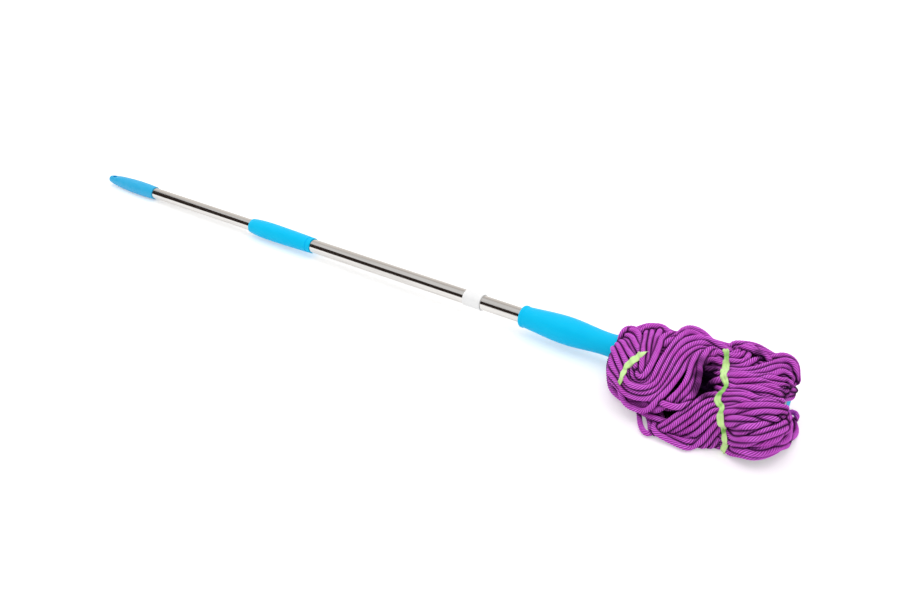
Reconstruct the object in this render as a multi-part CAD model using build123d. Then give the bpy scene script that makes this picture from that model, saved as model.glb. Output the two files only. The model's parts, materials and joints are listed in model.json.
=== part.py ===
from build123d import *
import math
import os

# A self-wringing twist mop lying on a floor, in millimetres, +Z up and +X from the hanging cap to the yarn.
# Every piece is first built along X, with x measured from the tip of the hanging cap and the pole's axis
# on X. One last step tilts the whole mop onto the floor and centres it.

# Hanging cap: diameters of its solid tip, then its walls over the upper tube
CAP_LENGTH = 118.0
CAP_NOSE_DIAMETER = 11.8
CAP_NOSE_AT = 3.0
CAP_NECK_DIAMETER = 17.4
CAP_NECK_AT = 19.0
CAP_SHOULDER_DIAMETER = 20.6
CAP_SHOULDER_AT = 36.0
CAP_BELLY_WALL = 2.45
CAP_BELLY_AT = 75.0
CAP_MOUTH_WALL = 1.25
CAP_SOCKET_DEPTH = 60.0
HANG_HOLE_DIAMETER = 7.0
HANG_HOLE_AT = 12.5
HANG_TAB_THICKNESS = 13.0
HANG_TAB_LENGTH = 17.0
HANG_TAB_RAMP = 60.0

# Tubes: the lower one is sized by the upper one and the guide bush between them
UPPER_TUBE_DIAMETER = 19.0
TUBE_WALL = 0.6
UPPER_TUBE_SHOWN = 234.0
UPPER_TUBE_OVERLAP = 140.0
LOWER_TUBE_SHOWN = 301.0

# Mid grip: its walls over the lower tube, the slopes of its ends, and the bush under its lip
GRIP_LENGTH = 134.0
GRIP_TOP_WALL = 0.55
GRIP_TOP_FLARE = 0.16
GRIP_TOP_ROUND = 1.2
GRIP_BARREL_WALL = 2.95
GRIP_BARREL_AT = 68.0
GRIP_FOOT_WALL = 1.25
GRIP_FOOT_TAPER = 0.05
GRIP_LIP = 3.0
GRIP_GROOVE_FLOOR = 0.9
GRIP_GROOVE_WIDTH = 1.6
GRIP_GROOVE_FROM_FOOT = 9.0
BUSH_FLANGE = 3.0
GUIDE_BUSH_LENGTH = 22.0
GUIDE_BUSH_WALL = 0.8

# Telescope lock
LOCK_PLUG_LENGTH = 30.0
LOCK_PLUG_FLANGE = 3.0
STUD_DIAMETER = 8.0
COLLET_LENGTH = 20.0
COLLET_HUB = 3.0
COLLET_SLIT = 2.0
CONE_LENGTH = 17.0
CONE_NOSE_WALL = 1.5
CONE_PROUD = 3.0
CONE_ROOM = 2.4
CONE_TRAVEL = 1.25
STOP_ROOM = 2.0
STOP_WASHER_ROOM = 2.4
STOP_WASHER_THICKNESS = 1.5
STOP_SCREW_DIAMETER = 4.0
STOP_SCREW_DEPTH = 12.0
STOP_SCREW_HEAD_DIAMETER = 7.0
STOP_SCREW_HEAD = 3.0

# Stop collar, with its wall over the lower tube, and wringer sleeve, with its walls over the bushes' seats
STOP_COLLAR_LENGTH = 30.0
STOP_COLLAR_WALL = 1.45
WRING_TRAVEL = 69.0
SLEEVE_LENGTH = 157.0
SLEEVE_FLANGE = 7.0
SLEEVE_FLANGE_WALL = 3.25
SLEEVE_NECK_WALL = 2.45
SLEEVE_NECK_FLARE = 0.08
SLEEVE_BELLY_WALL = 6.95
SLEEVE_BELLY_AT = 82.0
SLEEVE_WAIST_WALL = 3.15
SLEEVE_WAIST_FROM_END = 22.0
SLEEVE_END_WALL = 4.45
SLEEVE_END_FLARE = 0.16
SLEEVE_LIP = 2.0
SLEEVE_BORE_CLEARANCE = 1.2
SLIDE_BUSH_LENGTH = 15.0
SLIDE_BUSH_WALL = 1.95

# Yarn collar at the sleeve's end
YARN_COLLAR_LENGTH = 14.0
UPPER_CLAMP_LENGTH = 10.0
UPPER_CLAMP_WALL = 3.0
COLLAR_SCREW_COUNT = 3
SMALL_SCREW_DIAMETER = 2.5
SMALL_SCREW_HEAD_DIAMETER = 4.0
SMALL_SCREW_HEAD = 3.0
SMALL_SCREW_GRIP = 10.0

# Bottom plate and what holds it
HEAD_LENGTH = 234.0
PLATE_RIM = 4.0
PLATE_THICKNESS = 6.0
PLATE_HUB = 2.0
END_PLUG_LENGTH = 36.0
END_PLUG_FLANGE = 4.0
BOTTOM_SCREW_DIAMETER = 6.0
BOTTOM_SCREW_HEAD_DIAMETER = 11.0
BOTTOM_SCREW_HEAD = 3.2
BOTTOM_SCREW_DEPTH = 18.0
BOTTOM_RECESS_LENGTH = 6.6
BOTTOM_RECESS_WIDTH = 1.1
BOTTOM_RECESS_DEPTH = 1.6
BOTTOM_WASHER_DIAMETER = 14.0
BOTTOM_WASHER_THICKNESS = 1.2
LOWER_CLAMP_WALL = 7.6
LOWER_CLAMP_LENGTH = 9.0
PLATE_SCREW_COUNT = 3
RIVET_DIAMETER = 4.0
RIVET_HEAD_DIAMETER = 7.0
RIVET_HEAD = 1.2
RIVET_FROM_END = 27.0

# Fits, all radial or end clearances
TIGHT_FIT = 0.05
RUNNING_FIT = 0.05
END_PLAY = 0.3
LIP_CLEARANCE = 0.4
SOFT_CLEARANCE = 0.4

# Yarn heap: reach from the pole's axis to the near side (-Y), the far side (+Y), up and down
YARN_NEAR = 115.0
YARN_FAR = 66.0
YARN_TOP = 46.0
YARN_BELOW = 44.2
HEAD_AXIS_HEIGHT = 34.0
YARN_TUCK = 4.0
YARN_LEAST = 6.0
YARN_WAIST = 0.85
YARN_CORE_CLEARANCE = 2.5
YARN_CROWN_POWER = 2.3
YARN_BASE_POWER = 3.2
BUNDLE_COUNT = 12
BUNDLE_GAP = 0.6
BUNDLE_CREASE = 0.94
SKIN_SHARES = (0.25, 0.5, 0.75)
SKIN_STEPS = 720
CORE_POINTS = 4

# Ribbons: the first lies over part of the heap, between two angles, and the second goes all round it
RIBBON_WIDTH = 11.0
RIBBON_THICKNESS = 0.8
RIBBON_1_AT = 89.0
RIBBON_1_SLANT = 0.4
RIBBON_1_FROM = 112.0
RIBBON_1_TO = 196.0
RIBBON_1_LIFT = 1.2
RIBBON_1_ROUNDS = 12
RIBBON_2_AT = 156.0
RIBBON_2_SLANT = 0.5
RIBBON_2_ROOM = 2.0

# Places along the pole, from the tip of the hanging cap
grip_top = CAP_LENGTH + UPPER_TUBE_SHOWN
grip_foot = grip_top + GRIP_LENGTH
lower_tube_top = grip_top + GRIP_LIP + BUSH_FLANGE
upper_tube_top = CAP_LENGTH - CAP_SOCKET_DEPTH
upper_tube_end = grip_top + UPPER_TUBE_OVERLAP
stop_collar_top = grip_foot + LOWER_TUBE_SHOWN
stop_collar_foot = stop_collar_top + STOP_COLLAR_LENGTH
sleeve_top = stop_collar_foot + WRING_TRAVEL + END_PLAY
sleeve_end = sleeve_top + SLEEVE_LENGTH
plate_top = sleeve_end + HEAD_LENGTH
lower_tube_end = plate_top - PLATE_HUB - END_PLUG_FLANGE

# Radii that several pieces share
upper_radius = UPPER_TUBE_DIAMETER / 2
upper_bore = upper_radius - TUBE_WALL
lower_bore = upper_radius + RUNNING_FIT + GUIDE_BUSH_WALL + TIGHT_FIT
lower_radius = lower_bore + TUBE_WALL
cap_socket_radius = upper_radius + TIGHT_FIT
cap_belly_radius = cap_socket_radius + CAP_BELLY_WALL
slide_bush_radius = lower_radius + RUNNING_FIT + SLIDE_BUSH_WALL
seat_radius = slide_bush_radius + RUNNING_FIT
sleeve_bore = lower_radius + SLEEVE_BORE_CLEARANCE
sleeve_end_radius = seat_radius + SLEEVE_END_WALL
upper_clamp_radius = sleeve_end_radius + TIGHT_FIT + UPPER_CLAMP_WALL
lower_clamp_bore = lower_radius + LIP_CLEARANCE
lower_clamp_radius = lower_clamp_bore + LOWER_CLAMP_WALL
plate_radius = lower_clamp_radius + PLATE_RIM
yarn_core = lower_radius + YARN_CORE_CLEARANCE
screw_hole_radius = SMALL_SCREW_DIAMETER / 2 + TIGHT_FIT
screw_head_hole_radius = SMALL_SCREW_HEAD_DIAMETER / 2 + TIGHT_FIT

# The mop rests on the cap's belly and on the yarn, so the pole rises a little towards the head
tilt = math.atan2(HEAD_AXIS_HEIGHT - cap_belly_radius, plate_top - CAP_BELLY_AT)
tip_height = cap_belly_radius - CAP_BELLY_AT * math.tan(tilt)

pieces = {}


def turned(*edges):
    """A solid of revolution about the pole's axis from the edges of a closed half profile."""
    return revolve(make_face(list(edges)), Axis.X, 360)


def turned_outline(*points):
    """A solid of revolution from a closed outline of straight lines, as (x, radius) points."""
    return turned(Polyline(*points, close=True))


def ring(start, end, inner, outer):
    """A plain ring about the pole's axis."""
    return turned_outline((start, inner), (end, inner), (end, outer), (start, outer))


def rod(start, end, radius):
    """A plain round bar on the pole's axis."""
    return turned_outline((start, 0), (end, 0), (end, radius), (start, radius))


def bar_beside(start, end, radius, offset):
    """A round bar parallel to the pole's axis, at this distance over it."""
    bar = Cylinder(radius, end - start, align=(Align.CENTER, Align.CENTER, Align.MIN))
    return Pos(start, 0, offset) * Rot(0, 90, 0) * bar


def around(count, solid):
    """Copies of a solid at equal angles about the pole's axis."""
    return [Rot(360 / count * i, 0, 0) * solid for i in range(count)]


def hang_cap():
    """Tapered cap with a socket for the upper tube and a flattened tab with a hang hole at its tip."""
    nose_radius = CAP_NOSE_DIAMETER / 2
    mouth_radius = cap_socket_radius + CAP_MOUTH_WALL
    ball_radius = (CAP_NOSE_AT**2 + nose_radius**2) / (2 * CAP_NOSE_AT)
    nose = RadiusArc((0, 0), (CAP_NOSE_AT, nose_radius), ball_radius)
    skin = Spline(
        (CAP_NOSE_AT, nose_radius),
        (CAP_NECK_AT, CAP_NECK_DIAMETER / 2),
        (CAP_SHOULDER_AT, CAP_SHOULDER_DIAMETER / 2),
        (CAP_BELLY_AT, cap_belly_radius),
        (CAP_LENGTH, mouth_radius),
    )
    rest = Polyline((CAP_LENGTH, mouth_radius), (CAP_LENGTH, 0), (0, 0))
    body = turned(nose, skin, rest)
    body -= rod(upper_tube_top - END_PLAY, CAP_LENGTH, cap_socket_radius)
    half = HANG_TAB_THICKNESS / 2
    clear = 2 * cap_belly_radius
    ramp_end = HANG_TAB_LENGTH + HANG_TAB_RAMP
    flat = Polyline((-clear, half), (HANG_TAB_LENGTH, half), (ramp_end, clear), (-clear, clear), close=True)
    upper_cut = extrude(Plane.XZ * make_face(flat), clear, both=True)
    body -= [upper_cut, mirror(upper_cut, Plane.XY)]
    hole = Pos(HANG_HOLE_AT, 0, 0) * Cylinder(HANG_HOLE_DIAMETER / 2, clear)
    return body - hole


def mid_grip():
    """Barrel grip on the lower tube's top, with a lip over the guide bush and a groove near its foot."""
    bore = lower_radius + TIGHT_FIT
    top_radius = bore + GRIP_TOP_WALL
    barrel_radius = bore + GRIP_BARREL_WALL
    foot_radius = bore + GRIP_FOOT_WALL
    barrel = Spline(
        (grip_top, top_radius),
        (grip_top + GRIP_BARREL_AT, barrel_radius),
        (grip_foot, foot_radius),
        tangents=[(1, GRIP_TOP_FLARE), (1, -GRIP_FOOT_TAPER)],
    )
    lip_bore = upper_radius + LIP_CLEARANCE
    lip_end = grip_top + GRIP_LIP
    inside = Polyline(
        (grip_foot, foot_radius),
        (grip_foot, bore),
        (lip_end, bore),
        (lip_end, lip_bore),
        (grip_top, lip_bore),
        (grip_top, top_radius),
    )
    body = turned(barrel, inside)
    top_edges = body.edges().filter_by(GeomType.CIRCLE).group_by(Axis.X)[0]
    body = fillet(top_edges.sort_by(SortBy.RADIUS)[-1], GRIP_TOP_ROUND)
    groove_at = grip_foot - GRIP_GROOVE_FROM_FOOT
    return body - ring(groove_at, groove_at + GRIP_GROOVE_WIDTH, bore + GRIP_GROOVE_FLOOR, barrel_radius)


def guide_bush():
    """Flanged bush in the mouth of the lower tube, round the upper tube."""
    bore = upper_radius + RUNNING_FIT
    flange = ring(lower_tube_top - BUSH_FLANGE, lower_tube_top, bore, lower_radius)
    return flange + ring(lower_tube_top, lower_tube_top + GUIDE_BUSH_LENGTH, bore, lower_bore - TIGHT_FIT)


# Telescope lock, from the end of the upper tube downwards
plug_face = upper_tube_end + LOCK_PLUG_FLANGE
collet_start = plug_face + END_PLAY
collet_end = collet_start + COLLET_LENGTH
cone_end = collet_end + CONE_PROUD
cone_start = cone_end - CONE_LENGTH
cone_small = STUD_DIAMETER / 2 + CONE_NOSE_WALL
cone_large = lower_bore - CONE_ROOM
stud_end = cone_end + CONE_TRAVEL + STOP_ROOM


def lock_plug():
    """Plug pressed in the upper tube, with a flange, a threaded stud and a screw hole in the stud's end."""
    plug = rod(upper_tube_end - LOCK_PLUG_LENGTH, upper_tube_end, upper_bore - TIGHT_FIT)
    flange = rod(upper_tube_end, plug_face, upper_radius)
    stud = rod(plug_face, stud_end, STUD_DIAMETER / 2)
    hole = rod(stud_end - STOP_SCREW_DEPTH, stud_end, STOP_SCREW_DIAMETER / 2 + TIGHT_FIT)
    return plug + flange + stud - hole


def lock_collet():
    """Split collet: a tapered socket that the cone spreads against the lower tube's bore."""
    hub_end = collet_start + COLLET_HUB
    hub_bore = STUD_DIAMETER / 2 + END_PLAY
    skin = lower_bore - 2 * TIGHT_FIT
    slope = (cone_large - cone_small) / CONE_LENGTH
    nose = cone_small + END_PLAY / 2
    body = turned_outline(
        (collet_start, hub_bore),
        (hub_end, hub_bore),
        (hub_end, nose + slope * (hub_end - cone_start)),
        (collet_end, nose + slope * (collet_end - cone_start)),
        (collet_end, skin),
        (collet_start, skin),
    )
    slit_length = COLLET_LENGTH - COLLET_HUB
    slit = Pos(collet_end, 0, lower_bore / 2) * Box(2 * slit_length, COLLET_SLIT, lower_bore)
    return body - slit


def lock_cone():
    """Tapered nut on the stud."""
    bore = STUD_DIAMETER / 2 + RUNNING_FIT
    nose, heel = (cone_start, cone_small), (cone_end, cone_large)
    return turned_outline((cone_start, bore), (cone_end, bore), heel, nose)


def lock_stop_washer():
    """Washer on the stud's end, which keeps the nut on the stud."""
    bore = STOP_SCREW_DIAMETER / 2 + TIGHT_FIT
    return ring(stud_end, stud_end + STOP_WASHER_THICKNESS, bore, lower_bore - STOP_WASHER_ROOM)


def lock_stop_screw():
    """Screw in the stud's end, which holds the stop washer."""
    head_start = stud_end + STOP_WASHER_THICKNESS
    shank = rod(stud_end - STOP_SCREW_DEPTH + END_PLAY, head_start, STOP_SCREW_DIAMETER / 2)
    return shank + rod(head_start, head_start + STOP_SCREW_HEAD, STOP_SCREW_HEAD_DIAMETER / 2)


# Sleeve: its two bush seats, and the yarn collar on its end, on which the upper clamp ring holds the cords
top_seat = sleeve_top + SLEEVE_LIP
top_seat_end = top_seat + SLIDE_BUSH_LENGTH + 2 * END_PLAY
foot_seat = sleeve_end - SLIDE_BUSH_LENGTH - 2 * END_PLAY
yarn_collar_end = sleeve_end + YARN_COLLAR_LENGTH
collar_screw_circle = (sleeve_bore + sleeve_end_radius) / 2
collar_head_seat = yarn_collar_end - SMALL_SCREW_HEAD
collar_screw_tip = sleeve_end - SMALL_SCREW_GRIP


def stop_collar():
    """Collar on the lower tube that ends the sleeve's travel."""
    bore = lower_radius + TIGHT_FIT
    return ring(stop_collar_top, stop_collar_foot, bore, bore + STOP_COLLAR_WALL)


def wringer_sleeve():
    """Contoured sleeve with a flange at its top, a belly and a waist, and a bush seat at each end."""
    neck = (sleeve_top + SLEEVE_FLANGE, seat_radius + SLEEVE_NECK_WALL)
    foot = (sleeve_end, sleeve_end_radius)
    contour = Spline(
        neck,
        (sleeve_top + SLEEVE_BELLY_AT, seat_radius + SLEEVE_BELLY_WALL),
        (sleeve_end - SLEEVE_WAIST_FROM_END, seat_radius + SLEEVE_WAIST_WALL),
        foot,
        tangents=[(1, SLEEVE_NECK_FLARE), (1, SLEEVE_END_FLARE)],
    )
    flange_radius = seat_radius + SLEEVE_FLANGE_WALL
    round_edge = SLEEVE_FLANGE / 3
    nose_start = (sleeve_top, flange_radius - round_edge)
    nose_end = (sleeve_top + round_edge, flange_radius)
    heel_start = (sleeve_top + SLEEVE_FLANGE - round_edge, flange_radius)
    lip_bore = lower_radius + LIP_CLEARANCE
    inside = Polyline(
        foot,
        (sleeve_end, seat_radius),
        (foot_seat, seat_radius),
        (foot_seat, sleeve_bore),
        (top_seat_end, sleeve_bore),
        (top_seat_end, seat_radius),
        (top_seat, seat_radius),
        (top_seat, lip_bore),
        (sleeve_top, lip_bore),
        nose_start,
    )
    nose = RadiusArc(nose_start, nose_end, round_edge)
    body = turned(contour, inside, nose, Line(nose_end, heel_start), Line(heel_start, neck))
    pilot = bar_beside(collar_screw_tip - END_PLAY, sleeve_end, screw_hole_radius, collar_screw_circle)
    return body - around(COLLAR_SCREW_COUNT, pilot)


def slide_bush(start):
    """Plain bush that runs on the lower tube and lets the sleeve turn round it."""
    return ring(start, start + SLIDE_BUSH_LENGTH, lower_radius + RUNNING_FIT, slide_bush_radius)


def yarn_collar():
    """Ring with counterbored screw holes."""
    body = ring(sleeve_end, yarn_collar_end, sleeve_bore, sleeve_end_radius)
    hole = bar_beside(sleeve_end, yarn_collar_end, screw_hole_radius, collar_screw_circle)
    hole += bar_beside(collar_head_seat, yarn_collar_end, screw_head_hole_radius, collar_screw_circle)
    return body - around(COLLAR_SCREW_COUNT, hole)


def upper_clamp_ring():
    """Ring round the yarn collar, over the cords' upper ends."""
    start = sleeve_end + (YARN_COLLAR_LENGTH - UPPER_CLAMP_LENGTH) / 2
    return ring(start, start + UPPER_CLAMP_LENGTH, sleeve_end_radius + TIGHT_FIT, upper_clamp_radius)


def collar_screws():
    """Screws through the yarn collar into the sleeve."""
    screw = bar_beside(collar_screw_tip, collar_head_seat, SMALL_SCREW_DIAMETER / 2, collar_screw_circle)
    head_radius = SMALL_SCREW_HEAD_DIAMETER / 2
    screw += bar_beside(collar_head_seat, yarn_collar_end, head_radius, collar_screw_circle)
    return Compound(around(COLLAR_SCREW_COUNT, screw))


# Bottom plate: seated on the end plug's flange, with the lower clamp ring behind it
plug_flange_end = lower_tube_end + END_PLUG_FLANGE
plate_face = plate_top + PLATE_THICKNESS
screw_seat = plate_face - BOTTOM_SCREW_HEAD
washer_seat = screw_seat - BOTTOM_WASHER_THICKNESS
screw_tip = plug_flange_end - BOTTOM_SCREW_DEPTH
bottom_hole_radius = BOTTOM_SCREW_DIAMETER / 2 + TIGHT_FIT
lower_clamp_end = plate_top - END_PLAY
lower_clamp_start = lower_clamp_end - LOWER_CLAMP_LENGTH
plate_screw_circle = (lower_clamp_bore + lower_clamp_radius) / 2
plate_screw_tip = plate_top + PLATE_THICKNESS / 2
plate_head_seat = lower_clamp_start + SMALL_SCREW_HEAD
rivet_at = lower_tube_end - RIVET_FROM_END


def rivet_hole():
    """The cross hole that the rivet fills."""
    hole = Cylinder(RIVET_DIAMETER / 2 + TIGHT_FIT, 4 * lower_radius)
    return Pos(rivet_at, 0, 0) * Rot(90, 0, 0) * hole


def end_plug():
    """Plug in the lower tube's end with a flange, a screw hole and a cross hole for the rivet."""
    body = rod(lower_tube_end - END_PLUG_LENGTH, lower_tube_end, lower_bore - TIGHT_FIT)
    body += rod(lower_tube_end, plug_flange_end, lower_radius)
    body -= rod(screw_tip - END_PLAY, plug_flange_end, bottom_hole_radius)
    return body - rivet_hole()


def plug_rivet():
    """Rivet through the tube and the plug, with a flat head each side."""
    shank = Rot(90, 0, 0) * Cylinder(RIVET_DIAMETER / 2, 2 * lower_radius)
    head_at = lower_radius + RIVET_HEAD / 2
    head = Rot(90, 0, 0) * Cylinder(RIVET_HEAD_DIAMETER / 2, RIVET_HEAD)
    return Pos(rivet_at, 0, 0) * (shank + [Pos(0, head_at, 0) * head, Pos(0, -head_at, 0) * head])


def bottom_plate():
    """Round plate with a rounded rim, a hub on the plug's flange and a recess for washer and screw."""
    body = rod(plate_top, plate_face, plate_radius)
    rim = body.edges().filter_by(GeomType.CIRCLE).sort_by(Axis.X)[-1]
    body = fillet(rim, PLATE_THICKNESS / 3)
    body += rod(plug_flange_end, plate_top, lower_radius)
    body -= rod(plug_flange_end, plate_face, bottom_hole_radius)
    body -= rod(washer_seat, plate_face, BOTTOM_WASHER_DIAMETER / 2 + END_PLAY)
    pilot = bar_beside(plate_top, plate_screw_tip + END_PLAY, screw_hole_radius, plate_screw_circle)
    return body - around(PLATE_SCREW_COUNT, pilot)


def bottom_screw():
    """Screw that holds the plate to the end plug, with a cross recess in its head."""
    body = rod(screw_tip, screw_seat, BOTTOM_SCREW_DIAMETER / 2)
    body += rod(screw_seat, plate_face, BOTTOM_SCREW_HEAD_DIAMETER / 2)
    blade = Box(2 * BOTTOM_RECESS_DEPTH, BOTTOM_RECESS_LENGTH, BOTTOM_RECESS_WIDTH)
    return body - [Pos(plate_face, 0, 0) * blade, Pos(plate_face, 0, 0) * Rot(90, 0, 0) * blade]


def lower_clamp_ring():
    """Ring behind the plate with counterbored screw holes."""
    body = ring(lower_clamp_start, lower_clamp_end, lower_clamp_bore, lower_clamp_radius)
    hole = bar_beside(lower_clamp_start, lower_clamp_end, screw_hole_radius, plate_screw_circle)
    hole += bar_beside(lower_clamp_start, plate_head_seat, screw_head_hole_radius, plate_screw_circle)
    return body - around(PLATE_SCREW_COUNT, hole)


def plate_screws():
    """Screws through the lower clamp ring into the plate."""
    screw = bar_beside(plate_head_seat, plate_screw_tip, SMALL_SCREW_DIAMETER / 2, plate_screw_circle)
    head_radius = SMALL_SCREW_HEAD_DIAMETER / 2
    screw += bar_beside(lower_clamp_start, plate_head_seat, head_radius, plate_screw_circle)
    return Compound(around(PLATE_SCREW_COUNT, screw))


class Section:
    """A cross section of the heap of yarn, on a plane that slants along the pole towards the near side.

    at: where its plane meets the axis, from the sleeve's end; size: share of the heap's full reach;
    core: radius of the space inside; slant: its shift along the pole per distance to the near side;
    room: gap to the floor.
    """

    def __init__(self, at, size, core, slant, room=0.0):
        self.at = sleeve_end + at
        self.size = size
        self.core = core
        self.slant = slant
        self.room = room


def waist_section(at):
    """A section under the second ribbon."""
    return Section(at, YARN_WAIST, yarn_core, RIBBON_2_SLANT, RIBBON_2_ROOM)


over_clamp = upper_clamp_radius + SOFT_CLEARANCE
over_plate = plate_radius + SOFT_CLEARANCE
collar_foot = YARN_COLLAR_LENGTH + SOFT_CLEARANCE
half_ribbon = RIBBON_WIDTH / 2 + SOFT_CLEARANCE
half_gap = BUNDLE_GAP / 2
below_ribbon = HEAD_LENGTH - RIBBON_2_AT

UPPER_SECTIONS = [
    Section(-YARN_TUCK, 0.42, over_clamp, 0.0),
    Section(collar_foot, 0.66, over_clamp, 0.1 * RIBBON_2_SLANT),
    Section(collar_foot + YARN_TUCK, 0.70, yarn_core, 0.1 * RIBBON_2_SLANT),
    Section(0.36 * RIBBON_2_AT, 0.93, yarn_core, 0.2 * RIBBON_2_SLANT),
    Section(0.62 * RIBBON_2_AT, 1.00, yarn_core, 0.6 * RIBBON_2_SLANT),
    Section(0.85 * RIBBON_2_AT, 0.95, yarn_core, 0.9 * RIBBON_2_SLANT),
    waist_section(RIBBON_2_AT - half_ribbon),
    waist_section(RIBBON_2_AT - half_gap),
]
LOWER_SECTIONS = [
    waist_section(RIBBON_2_AT + half_gap),
    waist_section(RIBBON_2_AT + half_ribbon),
    Section(RIBBON_2_AT + 0.30 * below_ribbon, 0.98, yarn_core, 0.9 * RIBBON_2_SLANT),
    Section(RIBBON_2_AT + 0.62 * below_ribbon, 0.98, yarn_core, 0.8 * RIBBON_2_SLANT),
    Section(RIBBON_2_AT + 0.74 * below_ribbon, 0.95, over_plate, 0.75 * RIBBON_2_SLANT),
    Section(HEAD_LENGTH + PLATE_THICKNESS, 0.76, over_plate, 0.7 * RIBBON_2_SLANT),
    Section(HEAD_LENGTH + 2 * PLATE_THICKNESS, 0.55, over_plate + PLATE_THICKNESS, 0.6 * RIBBON_2_SLANT),
]


def heap_reach(angle):
    """Full reach of the heap from the axis in a direction, as a superellipse with a boxy lower half."""
    across, up = math.cos(angle), math.sin(angle)
    side = YARN_FAR if across > 0 else YARN_NEAR
    height = YARN_TOP if up > 0 else YARN_BELOW
    power = YARN_CROWN_POWER if up > 0 else YARN_BASE_POWER
    return ((abs(across) / side) ** power + (abs(up) / height) ** power) ** (-1 / power)


def reach(section, angle, shift=0.0, extra=0.0):
    """Distance from the axis to the yarn's skin, ended by the floor, on a line moved sideways by shift."""
    across, up = math.cos(angle), math.sin(angle)
    distance = max(section.size * heap_reach(angle), section.core + YARN_LEAST) + extra
    fall = up * math.cos(tilt) - section.slant * across * math.sin(tilt)
    if fall >= 0:
        return distance
    start = shift * (across * math.cos(tilt) + section.slant * up * math.sin(tilt))
    height = start + section.at * math.sin(tilt) + tip_height * math.cos(tilt) - section.room + extra
    return min(distance, height / -fall)


def on_section(section, angle, radius, shift=0.0):
    """The point of a slanted section at an angle and a radius, moved sideways by shift."""
    y = radius * math.cos(angle) - shift * math.sin(angle)
    z = radius * math.sin(angle) + shift * math.cos(angle)
    return (section.at - section.slant * y, y, z)


def bundle_angles():
    """First and last direction of each bundle, with the creases at equal distances round the heap."""
    angles = [2 * math.pi * i / SKIN_STEPS for i in range(SKIN_STEPS + 1)]
    widest = max(UPPER_SECTIONS, key=lambda section: section.size)
    skin = [(reach(widest, a) * math.cos(a), reach(widest, a) * math.sin(a)) for a in angles]
    walked = [0.0]
    for before, after in zip(skin, skin[1:]):
        walked.append(walked[-1] + math.dist(before, after))
    marks = [walked[-1] * i / BUNDLE_COUNT for i in range(BUNDLE_COUNT)]
    creases = [next(a for a, d in zip(angles, walked) if d >= mark) for mark in marks]
    return list(zip(creases, [*creases[1:], creases[0] + 2 * math.pi]))


def skin_angles():
    """Directions of the points round every bundle's skin, in order round the heap."""
    shares = (0.0, *SKIN_SHARES)
    return [first + (last - first) * share for first, last in bundle_angles() for share in shares]


def bundle_outline(section, first, last):
    """Closed outline of one bundle in a section: points round its core, then round its skin."""
    outline = []
    chord = (last - first) / (CORE_POINTS - 1)
    for step in range(CORE_POINTS):
        shift = half_gap * (1 - 2 * step / (CORE_POINTS - 1))
        outline.append(on_section(section, first + chord * step, section.core / math.cos(chord / 2), shift))
    for share in (1.0, *reversed(SKIN_SHARES), 0.0):
        angle = first + (last - first) * share
        edge = share not in SKIN_SHARES
        shift = half_gap * (1 - 2 * share) if edge else 0.0
        crease = BUNDLE_CREASE if edge else 1.0
        outline.append(on_section(section, angle, crease * reach(section, angle, shift), shift))
    return outline


def yarn_bundle(sections, first, last):
    """One bundle of cords: a ruled solid through its outlines in the sections."""
    wires = [Wire.make_polygon(bundle_outline(section, first, last)) for section in sections]
    return Solid.make_loft(wires, ruled=True)


def between(sections, place):
    """The section at a place along the yarn, worked out between its two neighbours."""
    for before, after in zip(sections, sections[1:]):
        if place <= after.at:
            break
    share = (place - before.at) / (after.at - before.at)
    middle = Section(0, 0, 0, 0)
    for name in ("at", "size", "core", "slant", "room"):
        low, high = getattr(before, name), getattr(after, name)
        setattr(middle, name, low + (high - low) * share)
    return middle


def ribbon_1_point(angle, offset, extra):
    """A point over the upper yarn's skin on the first ribbon's own slanted plane."""
    place = sleeve_end + RIBBON_1_AT
    for _ in range(RIBBON_1_ROUNDS):
        section = between(UPPER_SECTIONS, place)
        radius = reach(section, angle, extra=extra)
        y, z = radius * math.cos(angle), radius * math.sin(angle)
        x = sleeve_end + RIBBON_1_AT + offset + RIBBON_1_SLANT * y
        place = x + section.slant * y
    return (x, y, z)


def ribbon_1():
    """Ribbon over the near and upper side of the upper yarn: a ruled solid through its cross sections."""
    wires = []
    under, over = RIBBON_1_LIFT, RIBBON_1_LIFT + RIBBON_THICKNESS
    half = RIBBON_WIDTH / 2
    for angle in skin_angles():
        if not math.radians(RIBBON_1_FROM) < angle < math.radians(RIBBON_1_TO):
            continue
        corners = ((-half, under), (half, under), (half, over), (-half, over))
        wires.append(Wire.make_polygon([ribbon_1_point(angle, *corner) for corner in corners]))
    return Solid.make_loft(wires, ruled=True)


def ribbon_2_tube(extra):
    """The space inside a closed loop round the waist of the yarn, this far out from it."""
    wires = []
    for side in (-1, 1):
        section = waist_section(RIBBON_2_AT + side * RIBBON_WIDTH / 2)
        loop = [on_section(section, angle, reach(section, angle, extra=extra)) for angle in skin_angles()]
        wires.append(Wire.make_polygon(loop))
    return Solid.make_loft(wires, ruled=True)


def ribbon_2():
    """Ribbon all round the waist of the yarn."""
    return ribbon_2_tube(SOFT_CLEARANCE + RIBBON_THICKNESS) - ribbon_2_tube(SOFT_CLEARANCE)


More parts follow.
